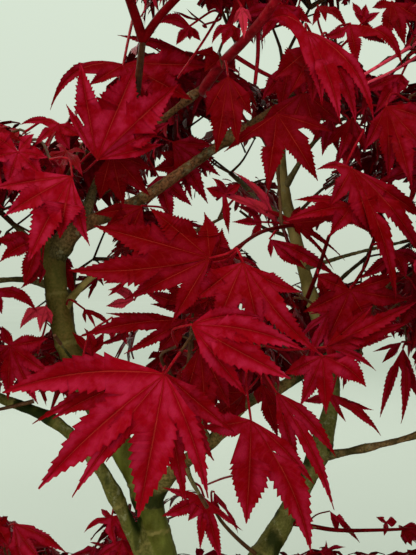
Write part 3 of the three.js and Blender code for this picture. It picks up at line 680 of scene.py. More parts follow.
# strews grains over the faces that look up, each with its own turn, size, squash and tone
strewing = node_tree(
    "strew_grains",
    (("Bed", "Geometry"), ("Per square metre", "Float"), ("Smallest", "Float"), ("Largest", "Float"),
     ("Finish", "Material")),
    "Grains",
    (("given", "NodeGroupInput"), ("spread", "GeometryNodeDistributePointsOnFaces"),
     ("upward", "GeometryNodeInputNormal"), ("split", "ShaderNodeSeparateXYZ"),
     ("top_only", "FunctionNodeCompare"), ("grain", "GeometryNodeMeshIcoSphere"),
     ("place", "GeometryNodeInstanceOnPoints"),
     ("turn", "FunctionNodeRandomValue", ("data_type", "FLOAT_VECTOR")), ("size", "FunctionNodeRandomValue"),
     ("squash", "FunctionNodeRandomValue", ("data_type", "FLOAT_VECTOR")),
     ("scale", "ShaderNodeVectorMath", ("operation", "SCALE")), ("tone", "FunctionNodeRandomValue"),
     ("keep_tone", "GeometryNodeStoreNamedAttribute", ("domain", "INSTANCE")),
     ("real", "GeometryNodeRealizeInstances"), ("finish", "GeometryNodeSetMaterial"),
     ("made", "NodeGroupOutput")),
    (("spread", "Seed", 7), ("top_only", "B", 0.7), ("grain", "Radius", 1), ("grain", "Subdivisions", 1),
     ("turn", "Max", (6.28, 6.28, 6.28)), ("size", "Seed", 3), ("squash", "Min", (0.75, 0.75, 0.6)),
     ("squash", "Max", (1.1, 1.1, 0.9)), ("tone", "Seed", 11), ("keep_tone", "Name", "tone")),
    (("given", "Bed", "spread", "Mesh"), ("given", "Per square metre", "spread", "Density"),
     ("upward", 0, "split", 0), ("split", "Z", "top_only", "A"), ("top_only", 0, "spread", "Selection"),
     ("spread", "Points", "place", "Points"), ("grain", "Mesh", "place", "Instance"),
     ("turn", 0, "place", "Rotation"), ("given", "Smallest", "size", 2), ("given", "Largest", "size", 3),
     ("squash", 0, "scale", 0), ("size", 1, "scale", "Scale"), ("scale", 0, "place", "Scale"),
     ("place", 0, "keep_tone", "Geometry"), ("tone", 1, "keep_tone", "Value"), ("keep_tone", 0, "real", 0),
     ("real", 0, "finish", "Geometry"), ("given", "Finish", "finish", "Material"), ("finish", 0, "made", 0)),
)


def run_tree(piece, tree, **values):
    """Gives a piece a tree of nodes with its named inputs and makes the result plain."""
    maker = piece.modifiers.new("maker", "NODES")
    maker.node_group = tree
    for item in tree.interface.items_tree:
        label = item.name.replace(" ", "_").lower()
        if item.in_out == "INPUT" and label in values:
            maker[item.identifier] = values[label]
    apply_modifiers(piece)


grains = new_mesh("soil_grains", bed_points, bed_faces)
run_tree(grains, strewing, per_square_metre=GRAINS_PER_SQUARE_CM * 1e4, smallest=GRAIN_RADIUS[0] * MM,
         largest=GRAIN_RADIUS[1] * MM, finish=baked_clay)
for piece in (soil_bed, grains):
    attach(piece, "root")
    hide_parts("soil")
print("soil grains", len(grains.data.polygons), "faces")

# %% [markdown]
# ## Where the leaves may grow
# The crown is divided into masses, each on its own bough. A mass has a middle and a reach, and a
# point belongs to the nearest middle. Seen from the front, the photo shows the sky through some
# openings, and nothing grows there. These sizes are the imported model's too.

# %% Masses and their spaces
MASSES = {
    "apex": ("right_leader", (52, 24, 500), (82, 80, 62), 12),
    "top_left": ("crown_bough", (6, -34, 446), (56, 66, 54), 9),
    "top_right": ("top_right_bough", (126, 12, 442), (74, 76, 60), 11),
    "crown_middle": ("upper_bough", (62, -48, 414), (58, 60, 48), 8),
    "shoulder": ("shoulder_bough", (-98, -22, 376), (58, 72, 48), 9),
    "left": ("left_bough", (-164, 16, 318), (60, 70, 58), 10),
    "left_low": ("lower_left_bough", (-122, -8, 284), (60, 70, 36), 7),
    "inner": ("side_bough", (-16, -14, 346), (52, 52, 42), 7),
    "front_left": ("front_left_bough", (-66, -98, 306), (60, 58, 54), 9),
    "front": ("front_bough", (2, -116, 302), (54, 56, 56), 9),
    "front_right": ("inner_bough", (84, -90, 326), (62, 60, 60), 10),
    "right": ("mid_right_bough", (148, -22, 350), (66, 70, 58), 11),
    "right_low": ("right_bough", (184, 6, 286), (54, 66, 46), 8),
    "back_left": ("back_left_bough", (-80, 102, 338), (74, 62, 62), 12),
    "back": ("back_bough", (16, 128, 412), (70, 60, 62), 11),
    "back_right": ("back_right_bough", (114, 112, 346), (72, 64, 62), 12),
    "back_low": ("back_low_bough", (16, 130, 300), (62, 54, 50), 8),
    "fork": ("fork_twig", (0, -64, 208), (34, 32, 26), 3),
    "knot": ("knot_twig", (104, 8, 174), (46, 36, 24), 4),
    "low_left": ("low_left_bough", (-112, 74, 134), (70, 62, 42), 9),
    "low_right": ("low_right_bough", (118, 66, 134), (66, 62, 42), 8),
    "low_back": ("low_back_bough", (6, 124, 134), (62, 54, 44), 8),
}
MASS_NAMES = list(MASSES)
MIDDLES = np.array([MASSES[name][1] for name in MASS_NAMES], dtype=float)
REACHES = np.array([MASSES[name][2] for name in MASS_NAMES], dtype=float)
# middle and half sizes in mm, in the plane of the stems
SKY_WINDOWS = np.array([(-112, 482, 76, 76), (-104, 224, 54, 27), (112, 213, 46, 22), (30, 206, 24, 30)],
                       dtype=float)
ROOM_FOR_BARK = 1.15


def in_sky_window(points):
    share = -EYE[1] / (points[:, 1] - EYE[1])
    x = EYE[0] + (points[:, 0] - EYE[0]) * share
    z = EYE[2] + (points[:, 2] - EYE[2]) * share
    return any(
        (((x - cx) / half_width) ** 2 + ((z - cz) / half_height) ** 2 < 1).any()
        for cx, cz, half_width, half_height in SKY_WINDOWS
    )


TO_OTHERS = [np.delete(MIDDLES, mass, axis=0) - own for mass, own in enumerate(MIDDLES)]
HALFWAY = [np.linalg.norm(away, axis=1) / 2 for away in TO_OTHERS]
TOWARDS = [(away / np.linalg.norm(away, axis=1)[:, None]).T for away in TO_OTHERS]


def in_space(points, mass, stretch, margin):
    points = np.atleast_2d(points)
    from_own = points - MIDDLES[mass]
    if (((from_own / REACHES[mass]) ** 2).sum(axis=1) > stretch**2).any() or in_sky_window(points):
        return False
    return bool((from_own @ TOWARDS[mass] - HALFWAY[mass] < -margin).all())


def clear_of_limbs(points, radius, clearance=1.2):
    points = np.atleast_2d(points)
    gaps = np.linalg.norm(points[:, None] - axis_points[None], axis=2) - axis_radii[None] * ROOM_FOR_BARK
    return bool(gaps.min() > radius + clearance)


def along(a, b, step=2.5):
    count = max(2, int(np.linalg.norm(b - a) / step) + 1)
    return a + (b - a) * np.linspace(0, 1, count)[:, None]


print(len(MASSES), "masses")

# %% [markdown]
# ## How the twigs grow
# A shoot's end is thrown into the mass's space, not too near another, and grows from the fork
# that it reaches with the least wood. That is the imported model's rule, and the same seeds give
# the same shoots. Real twigs then go on: maples bear everything in opposite pairs, so each shoot
# carries finer side shoots in pairs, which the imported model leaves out.

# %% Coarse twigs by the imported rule
CUT_GAP = 0.35
STEM_LENGTH = 9
SHOOT_SPACING = 38
SHOOT_REACH = 0.72
SHOOT_MARGIN = 6
SHOOT_TRIES = 3000
PATH_WEIGHT = 0.35
TWIG_TIP_RADIUS = 1.7


def grow_twigs(mass):
    limb, middle, reach, shoots = MASSES[MASS_NAMES[mass]]
    random = seeded_random(1000 + 37 * mass)
    path, _ = smooth_curve(LIMBS[limb][0])
    tip = path[-1]
    heading = unit(path[-1] - path[-2])
    first = tip + heading * STEM_LENGTH
    nodes = [tip + heading * CUT_GAP, first]
    parents = [-1, 0]
    paths = [0, STEM_LENGTH]
    ends = []
    for _ in range(SHOOT_TRIES):
        if len(ends) >= shoots:
            break
        turn = 2 * math.pi * random()
        rise = 2 * random() - 1
        out = SHOOT_REACH * random() ** 0.45
        flat = math.sqrt(1 - rise * rise)
        point = np.array([flat * math.cos(turn), flat * math.sin(turn), rise]) * out * np.array(reach) + middle
        crowded = any(np.linalg.norm(end - point) < SHOOT_SPACING for end in ends)
        if not crowded and in_space(point, mass, 1, SHOOT_MARGIN):
            ends.append(point)
    ends.sort(key=lambda end: np.linalg.norm(end - first))
    for point in ends:
        best, best_cost = -1, math.inf
        for i in range(1, len(nodes)):
            cost = np.linalg.norm(nodes[i] - point) + PATH_WEIGHT * paths[i]
            if cost < best_cost and clear_of_limbs(along(nodes[i], point), TWIG_TIP_RADIUS):
                best, best_cost = i, cost
        if best < 0:
            continue
        paths.append(paths[best] + np.linalg.norm(nodes[best] - point))
        nodes.append(point)
        parents.append(best)
    return nodes, parents


coarse = [grow_twigs(mass) for mass in range(len(MASSES))]
print("shoots", sum(len(nodes) - 2 for nodes, _ in coarse))

# %% [markdown]
# ## The shape of a leaf
# A maple leaf has five to seven long lobes that join some way out from the stalk, each with a
# midrib, a fine point and a saw edge. Each half lobe is a strip of faces from the midrib to the
# edge, so the outline is real and needs no see-through picture. The strip's points carry how far
# along the lobe they are and how far across, and the veins are painted from those two numbers.

# %% Leaf builder
LOBE_OUTLINE = ((0, 0.2, 0.34, 0.46, 0.6, 0.74, 0.87, 1), (0.42, 0.76, 0.96, 1, 0.84, 0.54, 0.24, 0))
TOOTH = 0.085
SEAM_PUFF = 0.09
saw_random = np.random.default_rng(9)


class Foliage:
    """Points, faces and numbers of many leaves, gathered before they become one mesh."""

    def __init__(self):
        self.points, self.faces, self.numbers, self.count = [], [], [], 0

    def add(self, points, faces, numbers):
        self.points.append(points)
        self.faces.extend(tuple(i + self.count for i in face) for face in faces)
        self.numbers.append(numbers)
        self.count += len(points)


def leaf_mesh(base, tips, up, widths, bends, notch, teeth, inner, bow, fold, ruffle):
    """One leaf from its base to the tips of its lobes, in their order round the leaf.

    Widths are half widths of the lobes in mm, bends push their middles to one side in mm, and
    the notch is the share of a lobe's length at which it parts from its neighbours. Up to the
    notch the lobes share seams, in some inner steps, which stand higher than the midribs."""
    lobes = tips - base
    lengths = np.linalg.norm(lobes, axis=1)
    directions = lobes / lengths[:, None]
    shared = notch * np.arange(1, inner + 1) / inner
    t = np.concatenate([shared[:-1], np.linspace(notch, 1, teeth + 1)[:-1]])
    ribs_count = len(t)
    arch = (4 * t * (1 - t))[:, None]
    outline = np.interp(t, *LOBE_OUTLINE)
    outer = t[inner:]
    out_teeth = np.arange(1, teeth) % 2 == 1
    meeting = (directions[:-1] + directions[1:]) / 2
    points = [base[None]]
    numbers = [np.zeros((1, 2))]
    for share in shared:
        reach = share * (np.minimum(lengths[:-1], lengths[1:]) + 0.08 / notch * np.abs(np.diff(lengths)))
        points.append(base + meeting * reach[:, None] + up * ((bow + SEAM_PUFF * (inner > 1)) * reach)[:, None])
        numbers.append(np.tile((share, 1.0 if share == notch else 0.7), (len(reach), 1)))
    seams = len(lobes) - 1
    faces = []
    count = 1 + inner * seams
    for order, (lobe, length) in enumerate(zip(lobes, lengths)):
        aside = unit(cross(lobe, up)) * bends[order]
        ribs = base + lobe * t[:, None] + (up * bow * length + aside) * arch
        courses = lobe + aside * (4 - 8 * t)[:, None]
        courses /= np.linalg.norm(courses, axis=1)[:, None]
        sides = np.cross(courses, up)
        sides /= np.linalg.norm(sides, axis=1)[:, None]
        lifts = np.cross(sides, courses)
        half = widths[order] * outline
        rib_ids = list(range(count, count + ribs_count))
        tip_id = count + ribs_count
        points += [ribs, tips[order][None]]
        numbers += [np.stack([t, 0 * t], axis=1), np.array([[1.0, 0.0]])]
        count += ribs_count + 1
        for hand in (-1, 1):
            between = order - 1 if hand < 0 else order
            if 0 <= between < seams:
                edge_ids = [1 + between + seams * step for step in range(inner)]
            else:
                inside = (hand * 0.8 * half[:inner] * (shared / notch) ** 0.6)[:, None]
                points.append(ribs[:inner] + sides[:inner] * inside)
                numbers.append(np.stack([shared, 0.9 + 0 * shared], axis=1))
                edge_ids = list(range(count, count + inner))
                count += inner
            wild = saw_random.uniform(0.1, 1.9, teeth - 1)
            edge = half[inner:] * (1 + TOOTH * np.where(out_teeth, wild, -wild))
            forward = length * (1 - notch) / teeth * np.where(out_teeth, 0.6 * wild, -0.1)
            wave = ruffle * half[inner:] * np.sin(9 * outer + 2 * order + hand)
            place = ribs[inner:] + sides[inner:] * (hand * edge)[:, None] + courses[inner:] * forward[:, None]
            points.append(place + lifts[inner:] * (fold * half[inner:] + wave)[:, None])
            numbers.append(np.stack([outer, np.ones(teeth - 1)], axis=1))
            edge_ids += range(count, count + teeth - 1)
            count += teeth - 1
            rows = [(0, rib_ids[0], edge_ids[0])]
            rows += zip(rib_ids[:-1], rib_ids[1:], edge_ids[1:], edge_ids[:-1])
            rows.append((rib_ids[-1], tip_id, edge_ids[-1]))
            faces += rows if hand < 0 else [row[::-1] for row in rows]
    return np.concatenate(points), faces, np.concatenate(numbers)


# %% [markdown]
# ## Leaves hung as in the photo
# The leaves nearest to the camera decide the picture, so each of them is described by its place:
# its depth, the base of its blade, the share at which the lobes part, its brightness, and its
# lobes. A lobe is the place of its tip, its half width and, where it is curved, how far its
# middle is pushed to the right as seen from the base. The rest of the crown grows by rule.

# %% The leaves in front
# depth in mm, base, notch, brightness, lobes; places, widths and bends in pixels of the photo
FRONT_LEAVES = [
    (-168, (165, 374), 0.3, 0.85,
     [(2, 393, 19, 12), (38, 489, 19, 6), (72, 497, 10, 4), (138, 518, 22), (208, 498, 11, -5)]),
    (-146, (163, 372), 0.3, 0.5,
     [(32, 424, 9, 8), (52, 419, 12, 6), (106, 462, 9), (186, 506, 11), (214, 461, 12), (234, 432, 12)]),
    (-122, (251, 420), 0.36, 0.6, [(202, 428, 12), (246, 524, 19), (311, 552, 16, -8), (314, 484, 8, -3)]),
    (-108, (150, 384), 0.35, 0.25, [(62, 412, 9), (86, 430, 9), (112, 440, 8)]),
    (-112, (276, 392), 0.25, 0.55, [(298, 470, 8), (334, 510, 7, -6), (336, 457, 8, -5)]),
    (-152, (191, 325), 0.25, 0.82, [(246, 395, 11), (291, 379, 16), (304, 350, 13, -8), (262, 318, 10, -6)]),
    (-141, (243, 262), 0.42, 0.5,
     [(194, 300, 14), (214, 332, 14), (264, 348, 11), (320, 354, 12, 6), (303, 292, 9, 5)]),
    (-135, (210, 258), 0.5, 0.2,
     [(172, 322, 12), (124, 300, 10), (68, 270, 17, -6), (94, 226, 17), (150, 208, 15), (206, 218, 12)]),
    (-112, (72, 176), 0.45, 0.75,
     [(90, 246, 9, 3), (60, 238, 20), (28, 262, 17), (4, 216, 13), (-6, 188, 12)]),
    (-60, (40, 240), 0.3, 0.35, [(24, 286, 9), (0, 262, 9, 4), (-6, 240, 9)]),
    (-62, (97, 160), 0.52, 0.78,
     [(66, 104, 6), (80, 62, 13), (136, 66, 23), (178, 84, 21), (170, 122, 12), (164, 144, 8)]),
    (-40, (124, 64), 0.4, 0.45,
     [(50, 111, 6, 18), (88, 86, 7), (148, 108, 15), (192, 100, 15), (212, 66, 14)]),
    (2, (186, 52), 0.35, 0.4, [(117, 35, 5, 4), (146, 64, 11), (172, 76, 12), (206, 72, 10)]),
    (-70, (190, 26), 0.3, 0.35, [(158, 24, 6, 6), (176, 45, 5), (190, 40, 5), (201, 41, 4)]),
    (-64, (206, 24), 0.3, 0.4, [(172, 11, 3, 8), (186, 8, 3, 4), (204, 28, 3)]),
    (-130, (125, -14), 0.35, 0.5, [(104, -22, 8), (118, -46, 9), (140, -40, 9)]),
    (-130, (188, -14), 0.35, 0.5, [(176, -44, 9), (200, -50, 9), (216, -26, 9)]),
    (-84, (58, 124), 0.3, 0.45, [(20, 125, 4, 4), (34, 146, 5), (70, 150, 8), (80, 136, 7)]),
    (-90, (18, 152), 0.42, 0.8,
     [(-10, 132, 9), (-14, 160, 10), (8, 186, 10), (44, 178, 9), (48, 158, 8), (34, 134, 8)]),
    (-108, (306, 30), 0.4, 0.7,
     [(258, 28, 6, 13), (322, 106, 9, -3), (340, 122, 11, -5), (356, 124, 11, -9), (374, 122, 8, -14)]),
    (-98, (316, 44), 0.45, 0.2, [(274, 78, 15), (290, 94, 12), (312, 104, 11), (334, 108, 9)]),
    (-66, (282, 4), 0.4, 0.6, [(238, 18, 7), (262, 40, 9), (298, 34, 13), (312, 24, 7)]),
    (-108, (241, 6), 0.3, 1.0, [(234, 24, 3), (244, 39, 5), (252, 22, 3)]),
    (-84, (232, 24), 0.3, 0.4, [(212, 44, 4, 4), (222, 46, 6), (239, 44, 6)]),
    (-84, (350, 24), 0.35, 0.35, [(322, 36, 6, -4), (357, 66, 7), (402, 66, 7, -12), (386, 44, 7)]),
    (-70, (318, 6), 0.3, 0.3, [(347, 36, 5, -7), (326, 22, 4), (312, 26, 4)]),
    (-66, (361, 24), 0.3, 0.45, [(352, 2, 5), (366, 4, 5), (380, 12, 4), (374, 34, 4)]),
    (-70, (392, 2), 0.35, 0.2, [(372, 8, 5), (386, 42, 8), (405, 46, 8), (426, 24, 9)]),
    (-98, (386, 106), 0.4, 0.4,
     [(364, 150, 9), (388, 180, 11), (412, 190, 11), (432, 160, 11), (430, 120, 10)]),
    (-92, (277, 114), 0.45, 0.12,
     [(224, 152, 6), (266, 199, 4, -3), (267, 189, 12), (318, 181, 12), (333, 132, 7)]),
    (-100, (228, 76), 0.5, 0.12, [(206, 116, 12), (216, 154, 12), (238, 146, 10), (252, 116, 10)]),
    (-104, (352, 168), 0.4, 0.35,
     [(316, 170, 4, 4), (330, 206, 9), (372, 238, 14), (396, 302, 9, -6), (426, 264, 9, -6), (430, 222, 9)]),
    (-100, (352, 206), 0.35, 0.4, [(294, 200, 5, 3), (283, 222, 7, 3), (330, 234, 9), (368, 232, 9)]),
    (-66, (292, 224), 0.3, 0.15,
     [(262, 210, 4), (300, 206, 5), (376, 228, 8, -3), (345, 261, 4), (334, 271, 4), (300, 236, 5)]),
    (-58, (276, 222), 0.3, 0.95, [(233, 172, 5, 4), (244, 196, 5), (212, 193, 5, 3)]),
    (-62, (226, 194), 0.3, 0.4, [(229, 234, 4), (206, 188, 6), (212, 178, 4, 3), (241, 184, 5)]),
    (-60, (270, 239), 0.3, 0.5, [(271, 258, 3), (306, 269, 7), (337, 277, 7, -4)]),
    (-70, (318, 274), 0.3, 0.3, [(346, 294, 5, -6), (326, 300, 5)]),
    (-88, (350, 290), 0.4, 0.25,
     [(316, 276, 8), (303, 312, 10), (328, 338, 12), (370, 326, 12), (410, 300, 10), (400, 274, 8)]),
    (-80, (394, 250), 0.3, 0.45, [(357, 279, 6, -3), (380, 282, 6), (406, 278, 8), (424, 262, 7)]),
    (-76, (416, 290), 0.4, 0.25, [(398, 330, 9), (412, 350, 9), (430, 340, 9)]),
    (-112, (326, 347), 0.3, 0.4,
     [(376, 371, 4, -5), (392, 336, 7), (410, 322, 8), (420, 300, 8), (372, 306, 8)]),
    (-118, (322, 356), 0.35, 0.7,
     [(284, 374, 10), (300, 406, 9), (326, 414, 9), (366, 387, 12, -5), (354, 362, 7)]),
    (-76, (332, 394), 0.3, 0.4, [(302, 401, 5), (346, 422, 3), (381, 436, 5, -8), (374, 410, 4)]),
    (-62, (403, 348), 0.25, 0.45, [(380, 418, 5), (401, 424, 5, -6), (418, 398, 6)]),
    (-50, (402, 342), 0.3, 0.45, [(382, 363, 4), (372, 352, 2)]),
    (-40, (10, 346), 0.35, 0.5,
     [(2, 326, 6), (48, 338, 9), (54, 376, 8), (38, 404, 8), (8, 400, 8), (-12, 362, 8)]),
    (-24, (46, 306), 0.35, 1.0, [(20, 329, 6, 3), (40, 332, 5), (52, 324, 5)]),
    (-34, (-8, 290), 0.3, 0.45, [(37, 313, 6, -8), (2, 314, 6)]),
    (-30, (42, 262), 0.3, 0.35, [(20, 289, 5), (29, 284, 4), (39, 284, 4)]),
    (-20, (84, 309), 0.25, 0.4, [(86, 323, 2), (96, 330, 2, -3), (112, 327, 3, -4)]),
    (-16, (134, 300), 0.3, 1.0, [(106, 306, 5), (108, 290, 5, 5), (122, 286, 5)]),
    (-110, (186, 320), 0.3, 0.2,
     [(106, 313, 5), (122, 319, 6), (76, 338, 8, 6), (124, 354, 6), (158, 352, 10)]),
    (-92, (206, 312), 0.3, 0.12, [(160, 282, 7), (176, 296, 6), (150, 304, 6)]),
    (-60, (130, 326), 0.3, 0.25, [(91, 333, 4, 3), (98, 345, 5), (114, 342, 5)]),
    (-20, (92, 356), 0.3, 0.4, [(72, 332, 5), (84, 328, 5, 3), (104, 332, 5)]),
    (14, (186, 166), 0.35, 0.3, [(160, 152, 8), (152, 170, 8), (164, 190, 9)]),
    (-96, (184, 304), 0.35, 0.15, [(144, 291, 7), (168, 276, 6), (188, 290, 5), (202, 300, 5)]),
    (-50, (160, 272), 0.35, 0.6, [(134, 299, 7), (150, 290, 6), (174, 292, 5)]),
    (12, (172, 142), 0.35, 0.5, [(192, 200, 7), (208, 204, 9), (220, 176, 8), (214, 146, 7)]),
    (10, (158, 176), 0.35, 0.55, [(146, 206, 7), (172, 224, 8), (192, 206, 7), (184, 188, 6)]),
    (-40, (112, 152), 0.45, 0.12, [(100, 200, 11), (124, 206, 12), (150, 196, 10), (154, 170, 8)]),
    (-50, (142, 206), 0.4, 0.1, [(94, 214, 8), (104, 228, 8), (130, 234, 9)]),
    (-92, (246, 392), 0.4, 0.12, [(204, 392, 10), (202, 424, 12), (228, 420, 9)]),
    (-90, (262, 384), 0.4, 0.15, [(258, 404, 7), (278, 438, 8), (290, 428, 8)]),
    (-128, (200, 345), 0.45, 0.2, [(184, 402, 12), (206, 430, 13), (230, 408, 12), (240, 380, 10)]),
    (-72, (304, 92), 0.5, 0.2, [(258, 128, 9), (284, 142, 12), (318, 140, 11), (344, 126, 10)]),
    (-58, (330, 118), 0.35, 0.7, [(312, 142, 5), (322, 156, 6), (338, 152, 6)]),
    (-56, (352, 136), 0.35, 0.65, [(334, 170, 5), (346, 178, 5), (362, 168, 5)]),
    (-60, (214, -6), 0.35, 0.6, [(208, 12, 6), (222, 14, 6), (236, 8, 5)]),
    (-120, (214, 262), 0.4, 0.25, [(204, 212, 10), (222, 228, 9), (238, 250, 8)]),
    (-72, (402, 74), 0.4, 0.6, [(362, 92, 8), (374, 114, 8), (394, 98, 7), (404, 92, 6)]),
    (-64, (352, 118), 0.35, 0.5, [(322, 150, 5), (338, 162, 6), (352, 160, 6), (366, 152, 6)]),
    (-60, (222, 58), 0.4, 0.2, [(196, 52, 7), (204, 72, 9), (236, 70, 8)]),
    (-60, (290, 62), 0.45, 0.45, [(262, 100, 9), (280, 112, 10), (304, 104, 10)]),
    (14, (60, 256), 0.35, 0.45, [(74, 268, 5), (76, 296, 7), (64, 300, 5)]),
    (-52, (262, 222), 0.3, 0.5, [(236, 206, 4, 3), (232, 222, 4), (250, 240, 4)]),
    (-36, (112, 318), 0.3, 0.5, [(134, 332, 4, -4), (128, 346, 4), (112, 344, 4)]),
    (-30, (128, 280), 0.3, 0.6, [(112, 270, 4), (104, 284, 4, 3), (108, 296, 3)]),
    (-40, (204, 497), 0.35, 0.6,
     [(162, 487, 4), (162, 516, 8), (188, 521, 7), (200, 550, 5), (222, 562, 7), (243, 531, 3)]),
    (-34, (214, 492), 0.3, 0.5, [(238, 534, 4, -12), (224, 520, 5)]),
    (0, (112, 516), 0.35, 0.65,
     [(101, 509, 4), (84, 533, 3, 3), (116, 546, 7), (138, 543, 8), (128, 520, 4)]),
    (6, (122, 540), 0.4, 0.6, [(94, 560, 6), (112, 570, 8), (138, 570, 9), (150, 554, 7)]),
    (-10, (14, 524), 0.35, 0.55, [(68, 554, 8, -8), (50, 568, 9), (26, 572, 8)]),
    (-6, (-4, 524), 0.35, 0.5, [(8, 516, 5), (8, 545, 8), (-8, 552, 8)]),
    (20, (330, 511), 0.3, 0.5, [(360, 543, 3), (347, 527, 4), (338, 533, 4)]),
    (16, (386, 522), 0.3, 0.45, [(376, 517, 3), (384, 536, 3), (397, 522, 5)]),
    (16, (402, 527), 0.35, 0.45, [(406, 545, 4), (412, 546, 5), (424, 542, 5), (420, 528, 6)]),
    (10, (322, 553), 0.4, 0.6, [(303, 556, 5), (326, 540, 4), (346, 547, 5), (340, 568, 7), (312, 572, 7)]),
]
print(len(FRONT_LEAVES), "leaves hung by hand")

# %% [markdown]
# The photo also shows single shoots between the leaves: a brown twig whose tip forks into two
# young red shoots, a stout red shoot in the middle, and long stalks. Each is described by its
# places in the photo, from the wood that bears it to its end.

# %% Shoots in view
# finish, depth at both ends, radius at both ends, places in the photo
FRONT_SHOOTS = [
    ("wood", (2, -117), (2.1, 1.5), [(139, 138), (137, 100), (140, 66), (143, 38)]),
    ("young", (-120, -132), (2.1, 1.8), [(143, 40), (136, 18), (125, -14)]),
    ("young", (-120, -132), (1.9, 1.6), [(143, 40), (160, 16), (188, -14)]),
    ("red", (-18, -128), (2.8, 2.0), [(209, 93), (204, 89), (222, 64), (243, 42), (262, 20), (284, -12)]),
    ("red", (-27, -72), (0.8, 0.6), [(134, 14), (129, 36), (123, 66)]),
    ("red", (-45, -92), (0.7, 0.5), [(228, 0), (204, 40), (178, 78)]),
    ("red", (-44, -62), (1.2, 0.9), [(232, 54), (258, 70), (282, 82)]),
    ("red", (-52, -60), (1.1, 0.9), [(258, 30), (258, 54), (255, 84)]),
    # pink: stalks whose bright pink is partly their own colour and partly a painted highlight
    ("pink", (-40, -100), (1.1, 0.7), [(440, 28), (428, 36), (392, 58), (355, 80)]),
    ("pink", (-40, -98), (0.9, 0.6), [(440, 42), (430, 48), (395, 70), (360, 86)]),
    ("red", (-98, -103), (0.6, 0.5), [(364, 130), (354, 148), (345, 167)]),
    ("young", (-56, -140), (1.0, 0.7), [(300, 224), (264, 231), (236, 248)]),
    ("young", (-52, -84), (1.2, 0.8), [(305, 304), (318, 270), (329, 236)]),
    ("young", (-86, -80), (0.8, 0.5), [(353, 286), (367, 262), (374, 236)]),
    ("red", (-42, -118), (0.5, 0.5), [(206, 485), (224, 478), (243, 474)]),
    ("red", (-64, -66), (0.5, 0.4), [(54, 128), (48, 140), (44, 150)]),
    ("wood", (42, 26), (1.3, 0.7), [(287, 236), (262, 227), (240, 211)]),
    ("wood", (45, 36), (1.3, 0.7), [(283, 226), (304, 207), (320, 191), (336, 180)]),
    ("young", (26, 6), (1.5, 0.7), [(282, 522), (310, 526), (336, 530), (380, 530), (424, 528)]),
    ("young", (22, 20), (0.5, 0.4), [(305, 526), (316, 515), (330, 511)]),
    ("wood", (16, -20), (1.3, 0.8), [(258, 556), (240, 541), (222, 522), (212, 505)]),
    ("wood", (-12, -16), (1.2, 0.8), [(34, 401), (14, 406), (-8, 411)]),
]
print(len(FRONT_SHOOTS), "shoots in view")
